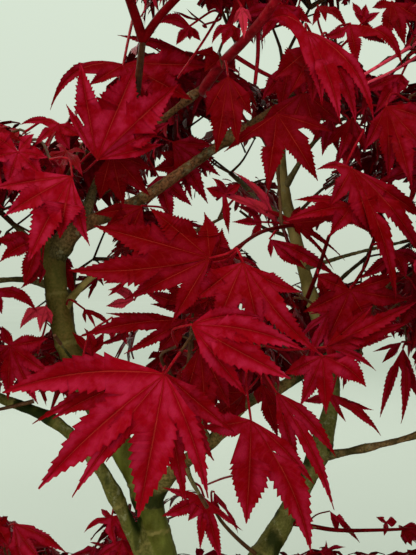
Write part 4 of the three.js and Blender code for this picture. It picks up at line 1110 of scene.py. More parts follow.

# %% [markdown]
# ## Where a leaf would spoil the view
# The photo shows the sky through many small gaps, and it shows some stems. A map of the picture
# holds, for each pixel, how near to the camera a leaf may come there: not at all in a gap, only
# behind a stem or a listed front leaf. Testing a leaf is then a look at the map, which
# is much quicker than measuring its distance to every gap.

# %% Places kept open
# x, y, half width, half height in the photo
SKY_GAPS = [
    # top left
    (40, 50, 62, 62), (120, 18, 12, 22), (45, 138, 12, 6), (101, 88, 4, 9), (182, 8, 14, 8),
    (192, 44, 10, 9), (172, 36, 14, 6), (166, 168, 8, 6), (200, 130, 8, 9),
    # top right
    (215, 24, 12, 6), (224, 46, 8, 8), (247, 54, 7, 8), (250, 71, 7, 8), (268, 68, 8, 11), (277, 51, 6, 6),
    (277, 40, 9, 5), (296, 40, 6, 4), (308, 10, 10, 8), (312, 26, 7, 7), (336, 36, 5, 7), (349, 20, 6, 12),
    (352, 50, 5, 10), (371, 14, 12, 15), (398, 36, 7, 7), (383, 50, 8, 5), (360, 62, 7, 7), (378, 67, 9, 3),
    (412, 76, 6, 15), (394, 84, 7, 6), (247, 111, 3, 7), (294, 121, 6, 4), (320, 139, 12, 8),
    (337, 124, 4, 6), (342, 142, 5, 4), (388, 138, 5, 5), (400, 134, 4, 3), (232, 144, 8, 3),
    # right
    (236, 164, 17, 14), (258, 160, 5, 11), (298, 182, 17, 14), (292, 164, 6, 8), (297, 206, 12, 8),
    (316, 206, 12, 4), (340, 158, 7, 8), (412, 188, 6, 10), (394, 190, 9, 5), (400, 218, 7, 14),
    (408, 232, 5, 10), (399, 248, 4, 10), (408, 256, 6, 6), (350, 256, 20, 25), (378, 250, 5, 12),
    (388, 262, 9, 5), (386, 274, 10, 4), (326, 268, 8, 8), (298, 242, 5, 7), (312, 255, 6, 8),
    (232, 232, 12, 15), (258, 243, 14, 10), (268, 262, 12, 8), (282, 276, 8, 7), (212, 186, 8, 7),
    (242, 308, 5, 6), (281, 314, 6, 8), (240, 345, 3, 3),
    # left
    (12, 224, 13, 12), (24, 208, 6, 6), (40, 204, 4, 6), (34, 232, 4, 5), (10, 268, 13, 18),
    (30, 285, 10, 11), (40, 298, 5, 7), (14, 302, 14, 6), (16, 318, 14, 9), (38, 330, 10, 5),
    (84, 248, 17, 16), (100, 235, 10, 6), (120, 282, 13, 10), (98, 304, 6, 5), (86, 320, 9, 11),
    (112, 337, 14, 5), (150, 344, 13, 7), (165, 288, 14, 9), (186, 252, 8, 3), (194, 286, 7, 6),
    (178, 296, 3, 7), (150, 302, 9, 5), (172, 316, 9, 3), (122, 200, 6, 4), (101, 206, 5, 4),
    (160, 208, 11, 8), (192, 212, 15, 8), (16, 352, 6, 6),
    # below
    (296, 398, 8, 8), (248, 414, 5, 6), (384, 350, 22, 8), (372, 410, 30, 22), (392, 380, 20, 26),
    (340, 480, 60, 26), (390, 500, 40, 18), (30, 470, 44, 44), (116, 466, 4, 10), (60, 510, 36, 24),
    (190, 470, 8, 8), (226, 480, 12, 26), (262, 506, 18, 30), (12, 400, 12, 6), (302, 408, 8, 14),
    (300, 536, 34, 10), (382, 540, 26, 10), (180, 545, 14, 18), (358, 470, 40, 20), (222, 446, 8, 12),
    (78, 546, 7, 14), (236, 546, 16, 12), (374, 552, 26, 10), (150, 500, 6, 10), (60, 530, 16, 10),
    (28, 512, 26, 8), (222, 540, 10, 14), (180, 525, 8, 10), (96, 500, 14, 8), (60, 548, 6, 8),
    (352, 557, 14, 9), (405, 558, 16, 11), (296, 557, 12, 10), (214, 557, 10, 9), (72, 558, 14, 9),
]
# stems in view: two ends in the photo, half width, and depth in mm
STEMS_IN_VIEW = [
    (55, 250, 68, 362, 11, -8), (62, 240, 82, 216, 9, -6), (150, 500, 168, 555, 14, -8),
    (122, 440, 134, 486, 10, -8), (100, 465, 142, 545, 10, -16), (30, 400, 75, 420, 9, -6),
    (252, 555, 316, 474, 13, 18), (322, 456, 416, 436, 7, 8), (328, 450, 330, 385, 8, 34),
    (282, 190, 280, 220, 7, 44), (302, 240, 308, 295, 8, 40), (150, 190, 216, 146, 6, -10),
    (160, 124, 212, 88, 6, -14), (137, 100, 143, 34, 5, -40), (75, 300, 104, 272, 7, -4),
]
NOWHERE = 1e9
GROWTH = {"leaf": 3, "twig": 1}
rows, columns = np.mgrid[0:PHOTO_HEIGHT, 0:PHOTO_WIDTH]
nearest_allowed = {}
for kind, growth in GROWTH.items():
    limit = np.full(rows.shape, -NOWHERE)
    for x0, y0, x1, y1, half_width, depth in STEMS_IN_VIEW:
        share = ((columns - x0) * (x1 - x0) + (rows - y0) * (y1 - y0)) / ((x1 - x0) ** 2 + (y1 - y0) ** 2)
        share = np.clip(share, 0, 1)
        gap = np.hypot(columns - x0 - share * (x1 - x0), rows - y0 - share * (y1 - y0))
        limit[gap < half_width] = depth
    for x, y, half_width, half_height in SKY_GAPS:
        across, down = (columns - x) / (half_width + growth), (rows - y) / (half_height + growth)
        limit[across**2 + down**2 < 1] = NOWHERE
    nearest_allowed[kind] = limit
print("share of the picture kept open:", round(float((nearest_allowed["twig"] == NOWHERE).mean()), 2))


def seen_pixels(points, reach=0):
    """Rows and columns of points that fall in the picture, and which points those are."""
    places = np.rint(in_photo(points)).astype(int)
    inside = ((places >= reach) & (places < (PHOTO_WIDTH - reach, PHOTO_HEIGHT - reach))).all(axis=1)
    return places[inside, 1], places[inside, 0], inside


def hides_view(points, kind="leaf"):
    """Which points would cover sky, a stem or a front leaf that the photo shows."""
    row, column, inside = seen_pixels(points)
    return points[inside, 1] < nearest_allowed[kind][row, column]


def keep_in_view(points, reach=3):
    """Nothing that grows later may cover these points."""
    row, column, inside = seen_pixels(points, reach)
    for limit in nearest_allowed.values():
        for down in range(-reach, reach + 1):
            for right in range(-reach, reach + 1):
                np.maximum.at(limit, (row + down, column + right), points[inside, 1] + 3)


# %% [markdown]
# Two more maps are boxes of small cells round the whole tree. One holds how far each cell is from
# a limb's bark, the other whether a leaf is already there.

# %% Cells taken by wood and leaves
CELL = 2.5
CELLS_FROM = np.array([-275.0, -215.0, 0.0])
CELL_COUNTS = np.array([228, 184, 240])
FAR = 9.0
wood_gap = np.full(CELL_COUNTS, FAR, dtype=np.float32)
leaf_there = np.zeros(CELL_COUNTS, dtype=bool)


def cells_of(points):
    return tuple(np.clip(((points - CELLS_FROM) / CELL).astype(int), 0, CELL_COUNTS - 1).T)


for centre, radius in zip(axis_points, axis_radii * ROOM_FOR_BARK):
    low = np.clip(((centre - radius - FAR - CELLS_FROM) / CELL).astype(int), 0, CELL_COUNTS - 1)
    high = np.clip(((centre + radius + FAR - CELLS_FROM) / CELL).astype(int) + 1, 1, CELL_COUNTS)
    x, y, z = (CELLS_FROM[i] + CELL * (np.arange(low[i], high[i]) + 0.5) - centre[i] for i in range(3))
    gap = np.sqrt(x[:, None, None] ** 2 + y[None, :, None] ** 2 + z[None, None, :] ** 2) - radius
    part = wood_gap[low[0]:high[0], low[1]:high[1], low[2]:high[2]]
    np.minimum(part, gap, out=part)
print("cells near wood", int((wood_gap < FAR).sum()))

# %% Gather the front leaves
TEETH_NEAR = 24
TEETH_IN_VIEW = 9
TEETH_FAR = 4
FRONT_FORM = (4, 0.06, 0.42, 0.2)  # inner steps, bow, fold and ruffle
SAMPLE_SHARES = (0.25, 0.5, 0.75, 1)
foliage = [Foliage() for _ in MASSES]
stalk_ends = []
leaf_count = 0
hung = np.random.default_rng(5)


def mass_of(point):
    return int(np.argmin(np.linalg.norm(MIDDLES - point, axis=1)))


def leaf_samples(base, tips):
    return np.concatenate([base[None], *(base + (tips - base) * share for share in SAMPLE_SHARES)])


def keep_leaf(mass, tone, base, tips, *shape):
    global leaf_count
    points, faces, numbers = leaf_mesh(base, tips, *shape)
    foliage[mass].add(points, faces, np.hstack([numbers, np.full((len(points), 1), tone)]))
    leaf_there[cells_of(leaf_samples(base, tips)[1:])] = True
    leaf_count += 1
    return points


for depth, base, notch, tone, lobes in FRONT_LEAVES:
    foot = seen_at(*base, depth)
    scale = pixel_at(depth)
    ends, widths, bends = [], [], []
    for order, (x, y, width, *bend) in enumerate(lobes):
        spread = 10 * abs(order / max(len(lobes) - 1, 1) - 0.5)
        ends.append(seen_at(x, y, depth + spread - 2 + hung.normal(0, 3)))
        widths.append(width * scale)
        bends.append(bend[0] * scale if bend else 0)
    along_leaf = np.mean(ends, axis=0) - foot
    up = unit(cross(ends[-1] - ends[0], along_leaf))
    if up[1] > 0:
        up, ends, widths, bends = -up, ends[::-1], widths[::-1], bends[::-1]
    mass = mass_of(foot + 0.3 * along_leaf)
    shape = (up, widths, bends, notch, TEETH_NEAR, *FRONT_FORM)
    keep_in_view(keep_leaf(mass, tone, foot, np.array(ends), *shape))
    stalk_ends.append((foot, unit(-0.25 * up - unit(along_leaf))))
print("front leaves", leaf_count)

# %% [markdown]
# ## Growing on to the fine shoots and the leaves
# From each coarse shoot fine side shoots leave in pairs, and each ends in a pair of leaves on red
# stalks. A leaf's blade hangs from its stalk with its lobes spread like a hand and its face turned
# out of the crown. A leaf is skipped where it would leave its mass, touch a limb, run into another
# leaf, or spoil the view. The wood of the twigs is kept as paths with a girth at each point.
# Every path starts on wood that is already there, so nothing hangs in the air.

# %% Fine shoots
LEAF_LENGTH = 42
LOBE_ANGLES = (0, 33, 66, 104)
LOBE_REACHES = (1, 0.93, 0.74, 0.42)
LOBE_WIDTHS = np.array([0.5, 0.8, 0.95, 1, 0.95, 0.8, 0.5])
STALK_RADII = (0.6, 0.42, 0.5)
SIDE_SHOOT_RADII = (0.7, 0.6, 0.5, 0.42)
VIEW_DEPTH, VIEW_LOW, VIEW_TOP, VIEW_HALF_WIDTH = 20, 140, 500, 150
SIDE_SHOOT = (14, 26)
STALK_LENGTH = (13, 25)
LEAF_TRIES = 14
SHARED_SPACE = 9
STATION_STEP = 11
BOX_SLACK = 6
# least gaps in mm between limbs and what grows beside them
LEAF_CLEARANCE = 2
STALK_CLEARANCE = 0.6
SIDE_SHOOT_CLEARANCE = 1.6
LATE_SHOOT_CLEARANCE = 1.2
TREE_AXIS = (12, 10)
lowest, highest = (np.array(corner) / MM for corner in packed_box)
woody_paths = []
stalk_paths = []
young_paths = []
pink_paths = []
long_stalks = []
twig_nodes = [[] for _ in MASSES]

PATHS_OF = {"wood": woody_paths, "young": young_paths, "pink": pink_paths, "red": long_stalks}
for kind, depths, radii, places in FRONT_SHOOTS:
    path = [seen_at(*place, depth) for place, depth in zip(places, np.linspace(*depths, len(places)))]
    PATHS_OF[kind].append((path, radii))
    twig_nodes[mass_of(path[-1])] += list(spaced(path, 6)[0][2:])


def leaf_tips(base, heading, up, length, draw):
    side = cross(heading, up)
    orders = np.arange(len(LOBE_ANGLES) - 1, -len(LOBE_ANGLES), -1)
    angles = np.sign(orders) * np.take(LOBE_ANGLES, np.abs(orders)) + draw.normal(0, 3, len(orders))
    angles = np.radians(angles)
    reach = np.take(LOBE_REACHES, np.abs(orders)) * length * (1 + draw.normal(0, 0.05, len(orders)))
    sag = (0.1 + 0.3 * draw.random()) * up + np.array([0, 0, 0.12])
    lobes = np.cos(angles)[:, None] * heading - np.sin(angles)[:, None] * side
    return base + reach[:, None] * lobes - (reach**2 / length)[:, None] * sag


def fits(points, mass, base, stalk_root):
    if (points < lowest - BOX_SLACK).any() or (points > highest + BOX_SLACK).any():
        return False
    if leaf_there[cells_of(points)].any() or hides_view(points).any():
        return False
    stalk = along(stalk_root, base, 3)[1:]
    if hides_view(stalk, "twig").any():
        return False
    if wood_gap[cells_of(points)].min() < LEAF_CLEARANCE:
        return False
    if wood_gap[cells_of(stalk)].min() < STALK_CLEARANCE:
        return False
    return in_space(points, mass, 1.45, -SHARED_SPACE)


def hang_leaf(mass, root, shoot, hand, draw, tone, tries=LEAF_TRIES):
    """Tries to hang a leaf on a stalk from a point of a shoot."""
    from_middle = (root - MIDDLES[mass]) * (1, 1, 0)
    from_axis = np.array([root[0] - TREE_AXIS[0], root[1] - TREE_AXIS[1], 0])
    outward = unit(unit(from_middle) + unit(from_axis))
    level = np.array([-shoot[1], shoot[0], 0])
    level = unit(level) if np.linalg.norm(level) > 0.2 else np.array([-outward[1], outward[0], 0])
    for attempt in range(tries):
        loose = attempt / tries
        stalk = shoot * 0.5 + level * hand * (0.6 + 0.5 * draw.random()) + outward * 0.5
        stalk[2] += 0.7 * draw.random() - 0.15
        stalk = unit(stalk) * draw.uniform(*STALK_LENGTH) * (1 - 0.35 * loose)
        base = root + stalk
        droop = math.radians(draw.uniform(12, 74))
        swing = math.radians(45 + 110 * loose) * draw.uniform(-1, 1)
        course = math.atan2(stalk[1], stalk[0]) + swing
        level_course = np.array([math.cos(course), math.sin(course), 0])
        heading = level_course * math.cos(droop) - np.array([0, 0, math.sin(droop)])
        if unit(stalk) @ heading < 0.08:
            continue
        up = np.array([0, 0, 1.0]) + draw.uniform(0.3, 1.1) * outward
        up = unit(up - heading * (up @ heading))
        length = LEAF_LENGTH * (1 - 0.32 * loose) * draw.uniform(0.75, 1.08)
        tips = leaf_tips(base, heading, up, length, draw)
        if not fits(leaf_samples(base, tips), mass, base, root):
            continue
        in_view = root[1] < VIEW_DEPTH and VIEW_LOW < root[2] < VIEW_TOP and abs(root[0]) < VIEW_HALF_WIDTH
        lobe_width = draw.uniform(0.095, 0.14) * length * LOBE_WIDTHS
        brightness = float(np.clip(tone + draw.normal(0, 0.17), 0, 0.88))
        keep_leaf(mass, brightness, base, tips, up, lobe_width, draw.normal(0, 0.03 * length, 7),
                  draw.uniform(0.24, 0.4), TEETH_IN_VIEW if in_view else TEETH_FAR, 1,
                  draw.uniform(0.04, 0.12), draw.uniform(0.1, 0.4), 0.1)
        bend = (root + base) / 2 + np.array([0, 0, 1.2])
        stalk_paths.append(([root, bend, base], STALK_RADII))
        return True
    return False


def bent(a, b, draw, amount=0.06):
    """A path with a slight bend, as a shoot has."""
    length = np.linalg.norm(b - a)
    aside = unit(cross(b - a, draw.normal(size=3))) * length * amount
    return [a, a + (b - a) * 0.35 + aside, a + (b - a) * 0.7 + aside * 0.6, b]


def side_shoot(mass, root, tip, hands, draw, tone):
    """A fine shoot with leaves at its tip, kept only if a leaf found room."""
    course = unit(tip - root)
    found = [hang_leaf(mass, tip - course * (1 + k), course, hand, draw, tone)
             for k, hand in enumerate(hands)]
    if any(found):
        woody_paths.append((bent(root, tip, draw), SIDE_SHOOT_RADII))
        twig_nodes[mass] += list(along(root, tip, 6)[1:])
    return any(found)


THIN_IN_VIEW = 0.55
MOST_IN_GAP = 0.25
SPRAY_TONE = 0.46
HIGH_CROWN = 400
THICK_END = 0.8
THIN_END = 0.72
LOAD_POWER = 0.35
left_out = 0
coarse_paths = []
spray_tones = []
for mass, (nodes, parents) in enumerate(coarse):
    draw = np.random.default_rng(300 + mass)
    loads = [0] * len(nodes)
    for i in range(len(nodes) - 1, 0, -1):
        loads[i] += 1
        loads[parents[i]] += loads[i]
    out_of_place = set()
    for i in range(len(nodes) - 1, 1, -1):
        bears = any(parents[j] == i and j not in out_of_place for j in range(i + 1, len(nodes)))
        if not bears and hides_view(along(nodes[parents[i]], nodes[i], 3)[2:], "twig").mean() > MOST_IN_GAP:
            out_of_place.add(i)
    left_out += len(out_of_place)
    limb = MASSES[MASS_NAMES[mass]][0]
    stem_radius = LIMBS[limb][1][1] * SLIMMER.get(limb, 1)
    spray_tones.append(SPRAY_TONE + draw.normal(0, 0.1) + 0.1 * (MIDDLES[mass][2] > HIGH_CROWN))
    for i in range(1, len(nodes)):
        if i in out_of_place:
            continue
        start, end = nodes[parents[i]], nodes[i]
        thick = min(THICK_END * loads[parents[i]] ** LOAD_POWER, stem_radius) if i > 1 else stem_radius
        thin = min(THIN_END * loads[i] ** LOAD_POWER, stem_radius)
        path = bent(start, end, draw, 0.05 if i > 1 else 0)
        slim = THIN_IN_VIEW if i > 1 and hides_view(along(start, end, 4)[2:], "twig").any() else 1
        coarse_paths.append((mass, i, (path, np.linspace(thick, thin, len(path)) * slim)))
        twig_nodes[mass] += list(along(start, end, 6))
        if i == 1:
            continue
        shoot = unit(end - start)
        span = np.linalg.norm(end - start)
        for order, hand in enumerate((-1, 1)):
            hang_leaf(mass, end - shoot * 4 * (1 + order), shoot, hand, draw, spray_tones[mass])
        tips = [(end, shoot, 0)] if loads[i] == 1 else []
        for station in np.arange(10, span - 6, STATION_STEP):
            tips += [(start + (end - start) * station / span, shoot, hand) for hand in (-1, 1)]
        for root, course, hand in tips:
            aside = unit(cross(course, (0, 0, 1)) + 1e-6) * hand
            wander = unit(course * 0.7 + aside * 0.9 + np.array([0, 0, 0.35]) + draw.normal(0, 0.2, 3))
            tip = root + wander * draw.uniform(*SIDE_SHOOT)
            path = along(root, tip)[2:]
            off_wood = wood_gap[cells_of(path)].min() > SIDE_SHOOT_CLEARANCE
            if off_wood and not hides_view(path, "twig").any() and in_space(tip, mass, 1.2, 1):
                hands = (-1, 1, 0) if hand == 0 or draw.random() < 0.35 else (-1, 1)
                side_shoot(mass, root, tip, hands, draw, spray_tones[mass] + 0.06)
print("leaves", leaf_count, "stalks", len(stalk_paths), "shoots", len(woody_paths), "coarse left out", left_out)

# %% [markdown]
# The pairs leave holes where no coarse shoot passes. On a real tree a shoot grows into every
# place with light, so places are strewn through each mass, and from the nearest twig a shoot
# grows towards each of them. New shoots can bear the next ones.

# %% Shoots grow into the gaps
PLACES_PER_MASS = 330
LONGEST_SHOOT = 46
SHORTEST_SHOOT = 5
SHORT_OF_PLACE = 8
for mass in range(len(MASSES)):
    draw = np.random.default_rng(700 + mass)
    for _ in range(PLACES_PER_MASS):
        out = draw.uniform(0.2, 1.0) ** 0.5
        place = MIDDLES[mass] + unit(draw.normal(size=3)) * REACHES[mass] * out * 1.08
        if not in_space(place, mass, 1.15, 1) or leaf_there[cells_of(place[None])].any():
            continue
        near = np.array(twig_nodes[mass])
        gaps = np.linalg.norm(near - place, axis=1)
        root = near[gaps.argmin()]
        length = max(min(gaps.min() - SHORT_OF_PLACE, LONGEST_SHOOT), SHORTEST_SHOOT)
        tip = root + unit(place - root) * length
        path = along(root, tip)[1:]
        if wood_gap[cells_of(path)].min() > LATE_SHOOT_CLEARANCE and not hides_view(path, "twig").any():
            side_shoot(mass, root, tip, (-1, 1, 0), draw, spray_tones[mass] + 0.08)
print("leaves", leaf_count, "stalks", len(stalk_paths), "shoots", len(woody_paths))

# %% [markdown]
# A coarse shoot that found no room for a leaf, and bears no other shoot, would be a bare stick.
# It is left out. The front leaves were placed by the photo, so each of their stalks is led back to
# the wood that needs the least length and shows the least of it. Where that is far, a twig goes
# most of the way.

# %% Keep the shoots that bear leaves
BEARING_REACH = 3
root_places = np.array([path[0] for path, _ in stalk_paths + woody_paths])
bearing = set()
for mass, i, (path, _) in reversed(coarse_paths):
    middle_line = along(path[0], path[-1], 3)[2:]
    gaps = np.linalg.norm(root_places[:, None] - middle_line[None], axis=2).min()
    if gaps < BEARING_REACH or i == 1 or (mass, i) in bearing:
        bearing.add((mass, i))
        bearing.add((mass, coarse[mass][1][i]))
bare = [(mass, i) for mass, i, _ in coarse_paths if (mass, i) not in bearing]
woody_paths = [path for mass, i, path in coarse_paths if (mass, i) in bearing] + woody_paths
print("bare shoots left out", len(bare))

LONGEST_STALK = 30
SHORTEST_STALK = 2
SHOWING_COST = 4
CANDIDATES = 160
twig_places = np.concatenate([spaced(path, 4, 40)[0] for path, _ in woody_paths + young_paths])
wood_places = np.concatenate([twig_places, axis_points[::3]])
limb_cost = np.where(np.arange(len(wood_places)) < len(twig_places), 0, 7)


def hidden_root(foot):
    """The wood that a leaf's stalk can start from with the least length and the least of it in view."""
    gaps = np.linalg.norm(wood_places - foot, axis=1) + limb_cost
    near = np.argsort(gaps)[:CANDIDATES]
    showing = [hides_view(along(foot, wood_places[i], 3)[2:], "twig").sum() for i in near]
    costs = [gaps[i] + SHOWING_COST * shown for i, shown in zip(near, showing)]
    return wood_places[near[int(np.argmin(costs))]]


for foot, out_of_leaf in stalk_ends:
    start = hidden_root(foot)
    length = np.linalg.norm(foot - start)
    if length < SHORTEST_STALK:
        continue
    if length > LONGEST_STALK:
        node = foot + (start - foot) * 0.8 * LONGEST_STALK / length + out_of_leaf * 3
        middle = (start + node) / 2 + out_of_leaf * 0.12 * length
        woody_paths.append(([start, middle, node], (0.85, 0.7, 0.6)))
        start = node
        length = np.linalg.norm(foot - start)
    middle = (start + foot) / 2 + out_of_leaf * 0.2 * length
    long_stalks.append(([start, middle, foot + (foot - start) * 0.02], (0.65, 0.55, 0.5)))
print("long stalks", len(long_stalks))

# %% [markdown]
# ## Finishes of leaves and shoots
# Spring leaves of this kind are crimson, brighter and pinker where they are young, with a satin
# face. Broad pink bands along each lobe are a painted sheen, and each lobe is painted darker beside
# its midrib as painted shade in the fold. The midribs and the fine side veins are a little lighter
# and stand in shallow grooves.
# The stripes of the side veins slant towards the tip, so they are a wave of the distance along
# the lobe less a share of the distance across it.

# %% Leaf material
VEINS_PER_LOBE = 15
VEIN_SLANT = 0.16


def maths(tree, operation, first, second=0.0, clamp=False):
    node = tree.nodes.new("ShaderNodeMath")
    node.operation = operation
    node.use_clamp = clamp
    for socket, value in zip(node.inputs, (first, second)):
        if isinstance(value, bpy.types.NodeSocket):
            tree.links.new(value, socket)
        else:
            socket.default_value = value
    return node.outputs[0]


def leaf_finish():
    material, tree, shader = new_material("crimson_leaf")
    along_lobe = number_on_mesh(tree, "along")
    across_lobe = number_on_mesh(tree, "across")
    tone = number_on_mesh(tree, "tone")
    mottle = noise_pattern(tree, 14, 3)
    fine = noise_pattern(tree, 1.6, 3)
    mixed_tone = maths(tree, "ADD", tone, maths(tree, "MULTIPLY", maths(tree, "SUBTRACT", mottle, 0.5), 0.5))
    colour = ramp(tree, mixed_tone, (0.0, (0.1, 0.0, 0.0)), (0.35, (0.165, 0.0, 0.001)),
                  (0.7, (0.21, 0.0002, 0.003)), (1.0, (0.27, 0.0008, 0.007)))
    colour = blend(tree, ramp(tree, tone, (0.86, 0.0), (1.0, 0.9)), colour, (0.52, 0.03, 0.05))
    # painted sheen: pink bands along each lobe, patchy by a noise that also makes the puckers
    sheen_and_pucker_noise = noise_pattern(tree, 7, 4)
    painted_sheen = ramp(tree, across_lobe, (0.12, 0.0), (0.45, 0.8), (0.8, 0.8), (1.0, 0.15))
    painted_sheen = blend(tree, 1.0, painted_sheen, ramp(tree, sheen_and_pucker_noise, (0.4, 0.0), (0.62, 1.0)), "MULTIPLY")
    painted_sheen = blend(tree, 1.0, painted_sheen, ramp(tree, tone, (0.1, 0.15), (0.8, 0.8)), "MULTIPLY")
    # the painted sheen is blended into the leaf's colour as pink
    colour = blend(tree, painted_sheen, colour, (0.38, 0.012, 0.046))
    midrib = ramp(tree, across_lobe, (0.0, 1.0), (0.05, 0.0))
    slant = maths(tree, "SUBTRACT", along_lobe, maths(tree, "MULTIPLY", across_lobe, VEIN_SLANT))
    wave = maths(tree, "SINE", maths(tree, "MULTIPLY", slant, VEINS_PER_LOBE * 2 * math.pi))
    side_veins = ramp(tree, wave, (0.8, 0.0), (1.0, 0.12))
    veins = blend(tree, 1.0, midrib, side_veins, "LIGHTEN")
    # painted shade: each lobe is painted darker beside its midrib, where the fold shades it
    painted_fold_shade = ramp(tree, across_lobe, (0.0, 0.6), (0.3, 0.0))
    colour = blend(tree, painted_fold_shade, colour, (0.13, 0.0, 0.0))
    colour = blend(tree, ramp(tree, veins, (0.0, 0.0), (1.0, 0.42)), colour, (0.55, 0.045, 0.03))
    edge = ramp(tree, across_lobe, (0.88, 0.0), (1.0, 0.25))
    colour = blend(tree, edge, colour, (0.1, 0.0, 0.001))
    tree.links.new(colour, shader.inputs["Base Color"])
    tree.links.new(ramp(tree, fine, (0.3, 0.36), (0.7, 0.5)), shader.inputs["Roughness"])
    shader.inputs["Specular IOR Level"].default_value = 0.06
    shader.inputs["Specular Tint"].default_value = (1, 0.15, 0.24, 1)
    puckers = maths(tree, "ADD", fine, maths(tree, "MULTIPLY", sheen_and_pucker_noise, 2))
    relief(tree, shader, maths(tree, "SUBTRACT", puckers, veins), 0.5, 0.5)
    return material


def shoot_finish(name, dark, light, speck, gloss=(1, 1, 1)):
    material, tree, shader = new_material(name)
    streaks = noise_pattern(tree, 4, 4)
    dots = noise_pattern(tree, 0.7, 3)
    colour = ramp(tree, streaks, (0.3, dark), (0.7, light))
    colour = blend(tree, ramp(tree, dots, (0.6, 0.0), (0.7, 0.5)), colour, speck)
    tree.links.new(colour, shader.inputs["Base Color"])
    tree.links.new(ramp(tree, dots, (0.3, 0.35), (0.7, 0.55)), shader.inputs["Roughness"])
    shader.inputs["Specular IOR Level"].default_value = 0.08
    shader.inputs["Specular Tint"].default_value = (*gloss, 1)
    relief(tree, shader, dots, 0.3, 0.2)
    return material


crimson_leaf = leaf_finish()
twig_bark = shoot_finish("twig_bark", (0.045, 0.012, 0.005), (0.12, 0.05, 0.02), (0.2, 0.14, 0.06))
RED_GLOSS = (1, 0.15, 0.2)
young_shoot = shoot_finish("young_shoot", (0.05, 0.0, 0.0), (0.13, 0.0004, 0.002), (0.2, 0.012, 0.01),
                           RED_GLOSS)
red_stalk = shoot_finish("red_stalk", (0.15, 0.0004, 0.003), (0.33, 0.005, 0.013), (0.46, 0.055, 0.045),
                         RED_GLOSS)
# bright pink stalks: partly their own pink, partly a painted highlight
pink_stalk = shoot_finish("pink_stalk", (0.45, 0.015, 0.04), (0.8, 0.07, 0.12), (0.9, 0.25, 0.25), RED_GLOSS)

# %% [markdown]
# ## Leaves and shoots become meshes
# Each mass's leaves are one piece. The shoots and stalks are paths, and a tree of Geometry Nodes
# sweeps a small circle along each of them with the girth that its points carry.

# %% Leaf pieces
SHARP_EDGE = 33
for mass, leaves in enumerate(foliage):
    numbers = np.concatenate(leaves.numbers)
    piece = new_mesh(f"foliage_{MASS_NAMES[mass]}", np.concatenate(leaves.points), leaves.faces, crimson_leaf,
                     along=numbers[:, 0], across=numbers[:, 1], tone=numbers[:, 2])
    piece.data.set_sharp_from_angle(angle=math.radians(SHARP_EDGE))
    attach(piece, "root")
    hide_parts(f"leaves_{MASS_NAMES[mass]}")
print("leaf faces", sum(len(leaves.faces) for leaves in foliage))


# %% Sweep the shoots and stalks
sweeping = node_tree(
    "sweep_shoots",
    (("Paths", "Geometry"), ("Sides", "Int"), ("Finish", "Material")),
    "Shoots",
    (("given", "NodeGroupInput"), ("to_curve", "GeometryNodeMeshToCurve"),
     ("girth", "GeometryNodeInputNamedAttribute"), ("circle", "GeometryNodeCurvePrimitiveCircle"),
     ("sweep", "GeometryNodeCurveToMesh"), ("smooth", "GeometryNodeSetShadeSmooth"),
     ("real", "GeometryNodeRealizeInstances"), ("finish", "GeometryNodeSetMaterial"),
     ("made", "NodeGroupOutput")),
    (("girth", "Name", "girth"), ("circle", "Radius", 1), ("sweep", "Fill Caps", True)),
    (("given", "Paths", "to_curve", "Mesh"), ("given", "Sides", "circle", "Resolution"),
     ("to_curve", "Curve", "sweep", "Curve"), ("circle", "Curve", "sweep", "Profile Curve"),
     ("girth", "Attribute", "sweep", "Scale"), ("sweep", "Mesh", "smooth", 0), ("smooth", 0, "real", 0),
     ("real", 0, "finish", "Geometry"), ("given", "Finish", "finish", "Material"), ("finish", 0, "made", 0)),
)


def swept_piece(name, paths, sides, material, step=5.0):
    """One piece from many paths, each a list of points with a girth at each."""
    points, edges, girths = [], [], []
    for path, radii in paths:
        centres, run = spaced(path, step, 80)
        share = np.linspace(0, 1, len(radii))
        radii = np.interp(run / run[-1], share, radii)
        start = len(points)
        points += list(centres)
        girths += list(radii * MM)
        edges += [(start + i, start + i + 1) for i in range(len(centres) - 1)]
    mesh = bpy.data.meshes.new(name)
    mesh.from_pydata(np.array(points) * MM, edges, [])
    add_numbers(mesh, girth=girths)
    piece = bpy.data.objects.new(name, mesh)
    scene.collection.objects.link(piece)
    run_tree(piece, sweeping, sides=sides, finish=material)
    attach(piece, "root")
    print(name, len(piece.data.polygons), "faces")


swept_piece("fine_shoots", woody_paths, 7, twig_bark)
swept_piece("young_shoots", young_paths, 12, young_shoot, 2.0)
swept_piece("pink_stalks", pink_paths, 12, pink_stalk, 2.0)
swept_piece("long_stalks", long_stalks, 9, red_stalk, 2.0)
swept_piece("leaf_stalks", stalk_paths, 5, red_stalk)

# %% [markdown]
# ## Light, floor and sky
# The photo is taken in soft daylight against a pale, slightly green ground. A wide lamp high on
# the left gives the satin of the leaves, one on the right and one in front open the shadows, and
# one behind edges the crown. The right and the front lamp fan out less than the others, so that
# they leave no pool of light on the floor. The floor is pale, darker near the tree and paler far off.

# %% Lamps
TREE_MIDDLE = Vector((0, 0, 0.32))
# place and size in metres, power in watts, colour, and how far the light fans out in degrees
LAMPS = {
    "high_left": ((-1.1, -1.3, 1.6), 1.3, 14, (1, 0.99, 0.97), 180),
    "low_right": ((3.2, -1.6, 2.1), 2.2, 4.7, (0.95, 1, 0.97), 90),
    "behind": ((-0.3, 1.8, 1.6), 1.8, 10, (1, 1, 0.98), 180),
    "front": ((0.02, -2.4, 0.85), 1.1, 4.5, (1, 1, 0.97), 90),
}
for name, (place, size, power, colour, spread) in LAMPS.items():
    data = bpy.data.lights.new(name, "AREA")
    data.size = size
    data.spread = math.radians(spread)
    data.energy = power
    data.color = colour
    lamp = bpy.data.objects.new(name, data)
    lamp.location = place
    lamp.rotation_euler = (TREE_MIDDLE - Vector(place)).to_track_quat("-Z", "Y").to_euler()
    lamp.visible_camera = False
    scene.collection.objects.link(lamp)
print(len(LAMPS), "lamps")

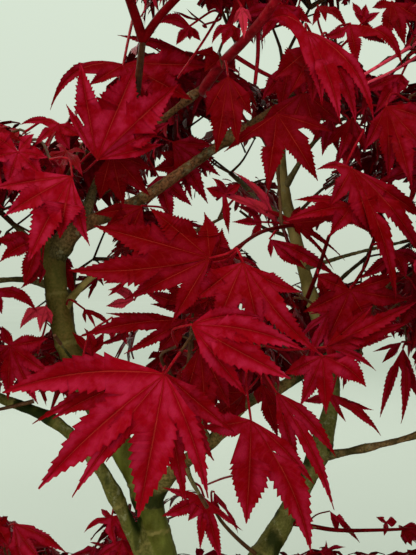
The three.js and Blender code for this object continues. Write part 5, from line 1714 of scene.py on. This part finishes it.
# %% Sky
world = bpy.data.worlds.new("soft_daylight")
scene.world = world
world.use_nodes = True
sky = world.node_tree
direction = sky.nodes.new("ShaderNodeTexCoord")
height_in_sky = sky.nodes.new("ShaderNodeSeparateXYZ")
sky.links.new(direction.outputs["Generated"], height_in_sky.inputs[0])
daylight = ramp(sky, height_in_sky.outputs["Z"], (0.0, (0.58, 0.655, 0.54)), (0.1, (0.64, 0.72, 0.605)),
                (0.3, (0.69, 0.79, 0.66)))
sky.links.new(daylight, sky.nodes["Background"].inputs["Color"])
sky.nodes["Background"].inputs["Strength"].default_value = 1.0
print("sky", world.name)

# %% Floor
FAR_FLOOR = 10
FLOOR_RADIUS = 30000
FLOOR_DROP = 0.2
RIM_POINTS = 64
floor_material, floor_tree, floor_shader = new_material("pale_floor")
floor_place = floor_tree.nodes.new("ShaderNodeTexCoord")
from_tree = floor_tree.nodes.new("ShaderNodeVectorMath")
from_tree.operation = "LENGTH"
floor_tree.links.new(floor_place.outputs["Object"], from_tree.inputs[0])
far = maths(floor_tree, "DIVIDE", from_tree.outputs["Value"], FAR_FLOOR, clamp=True)
# the floor is darker near the tree and paler far off
pale = ramp(floor_tree, far, (0.06, (0.55, 0.57, 0.53)), (0.15, (0.62, 0.64, 0.6)), (0.4, (0.75, 0.76, 0.74)),
            (1.0, (0.84, 0.83, 0.82)))
floor_tint = noise_pattern(floor_tree, 900, 2)
faint = ramp(floor_tree, floor_tint, (0.3, (0.96, 0.96, 0.96)), (0.7, (1.0, 1.0, 1.0)))
tinted = blend(floor_tree, 1.0, pale, faint, "MULTIPLY")
floor_tree.links.new(tinted, floor_shader.inputs["Base Color"])
floor_shader.inputs["Roughness"].default_value = 0.9
turns = np.linspace(0, 2 * math.pi, RIM_POINTS + 1)[:-1]
rim = [(FLOOR_RADIUS * math.cos(a), FLOOR_RADIUS * math.sin(a), -FLOOR_DROP) for a in turns]
floor = new_mesh("floor", rim, [tuple(range(RIM_POINTS))], floor_material)
print("floor", 2 * FLOOR_RADIUS * MM, "m across")
scene.view_settings.view_transform = "Standard"
scene.view_settings.look = "None"
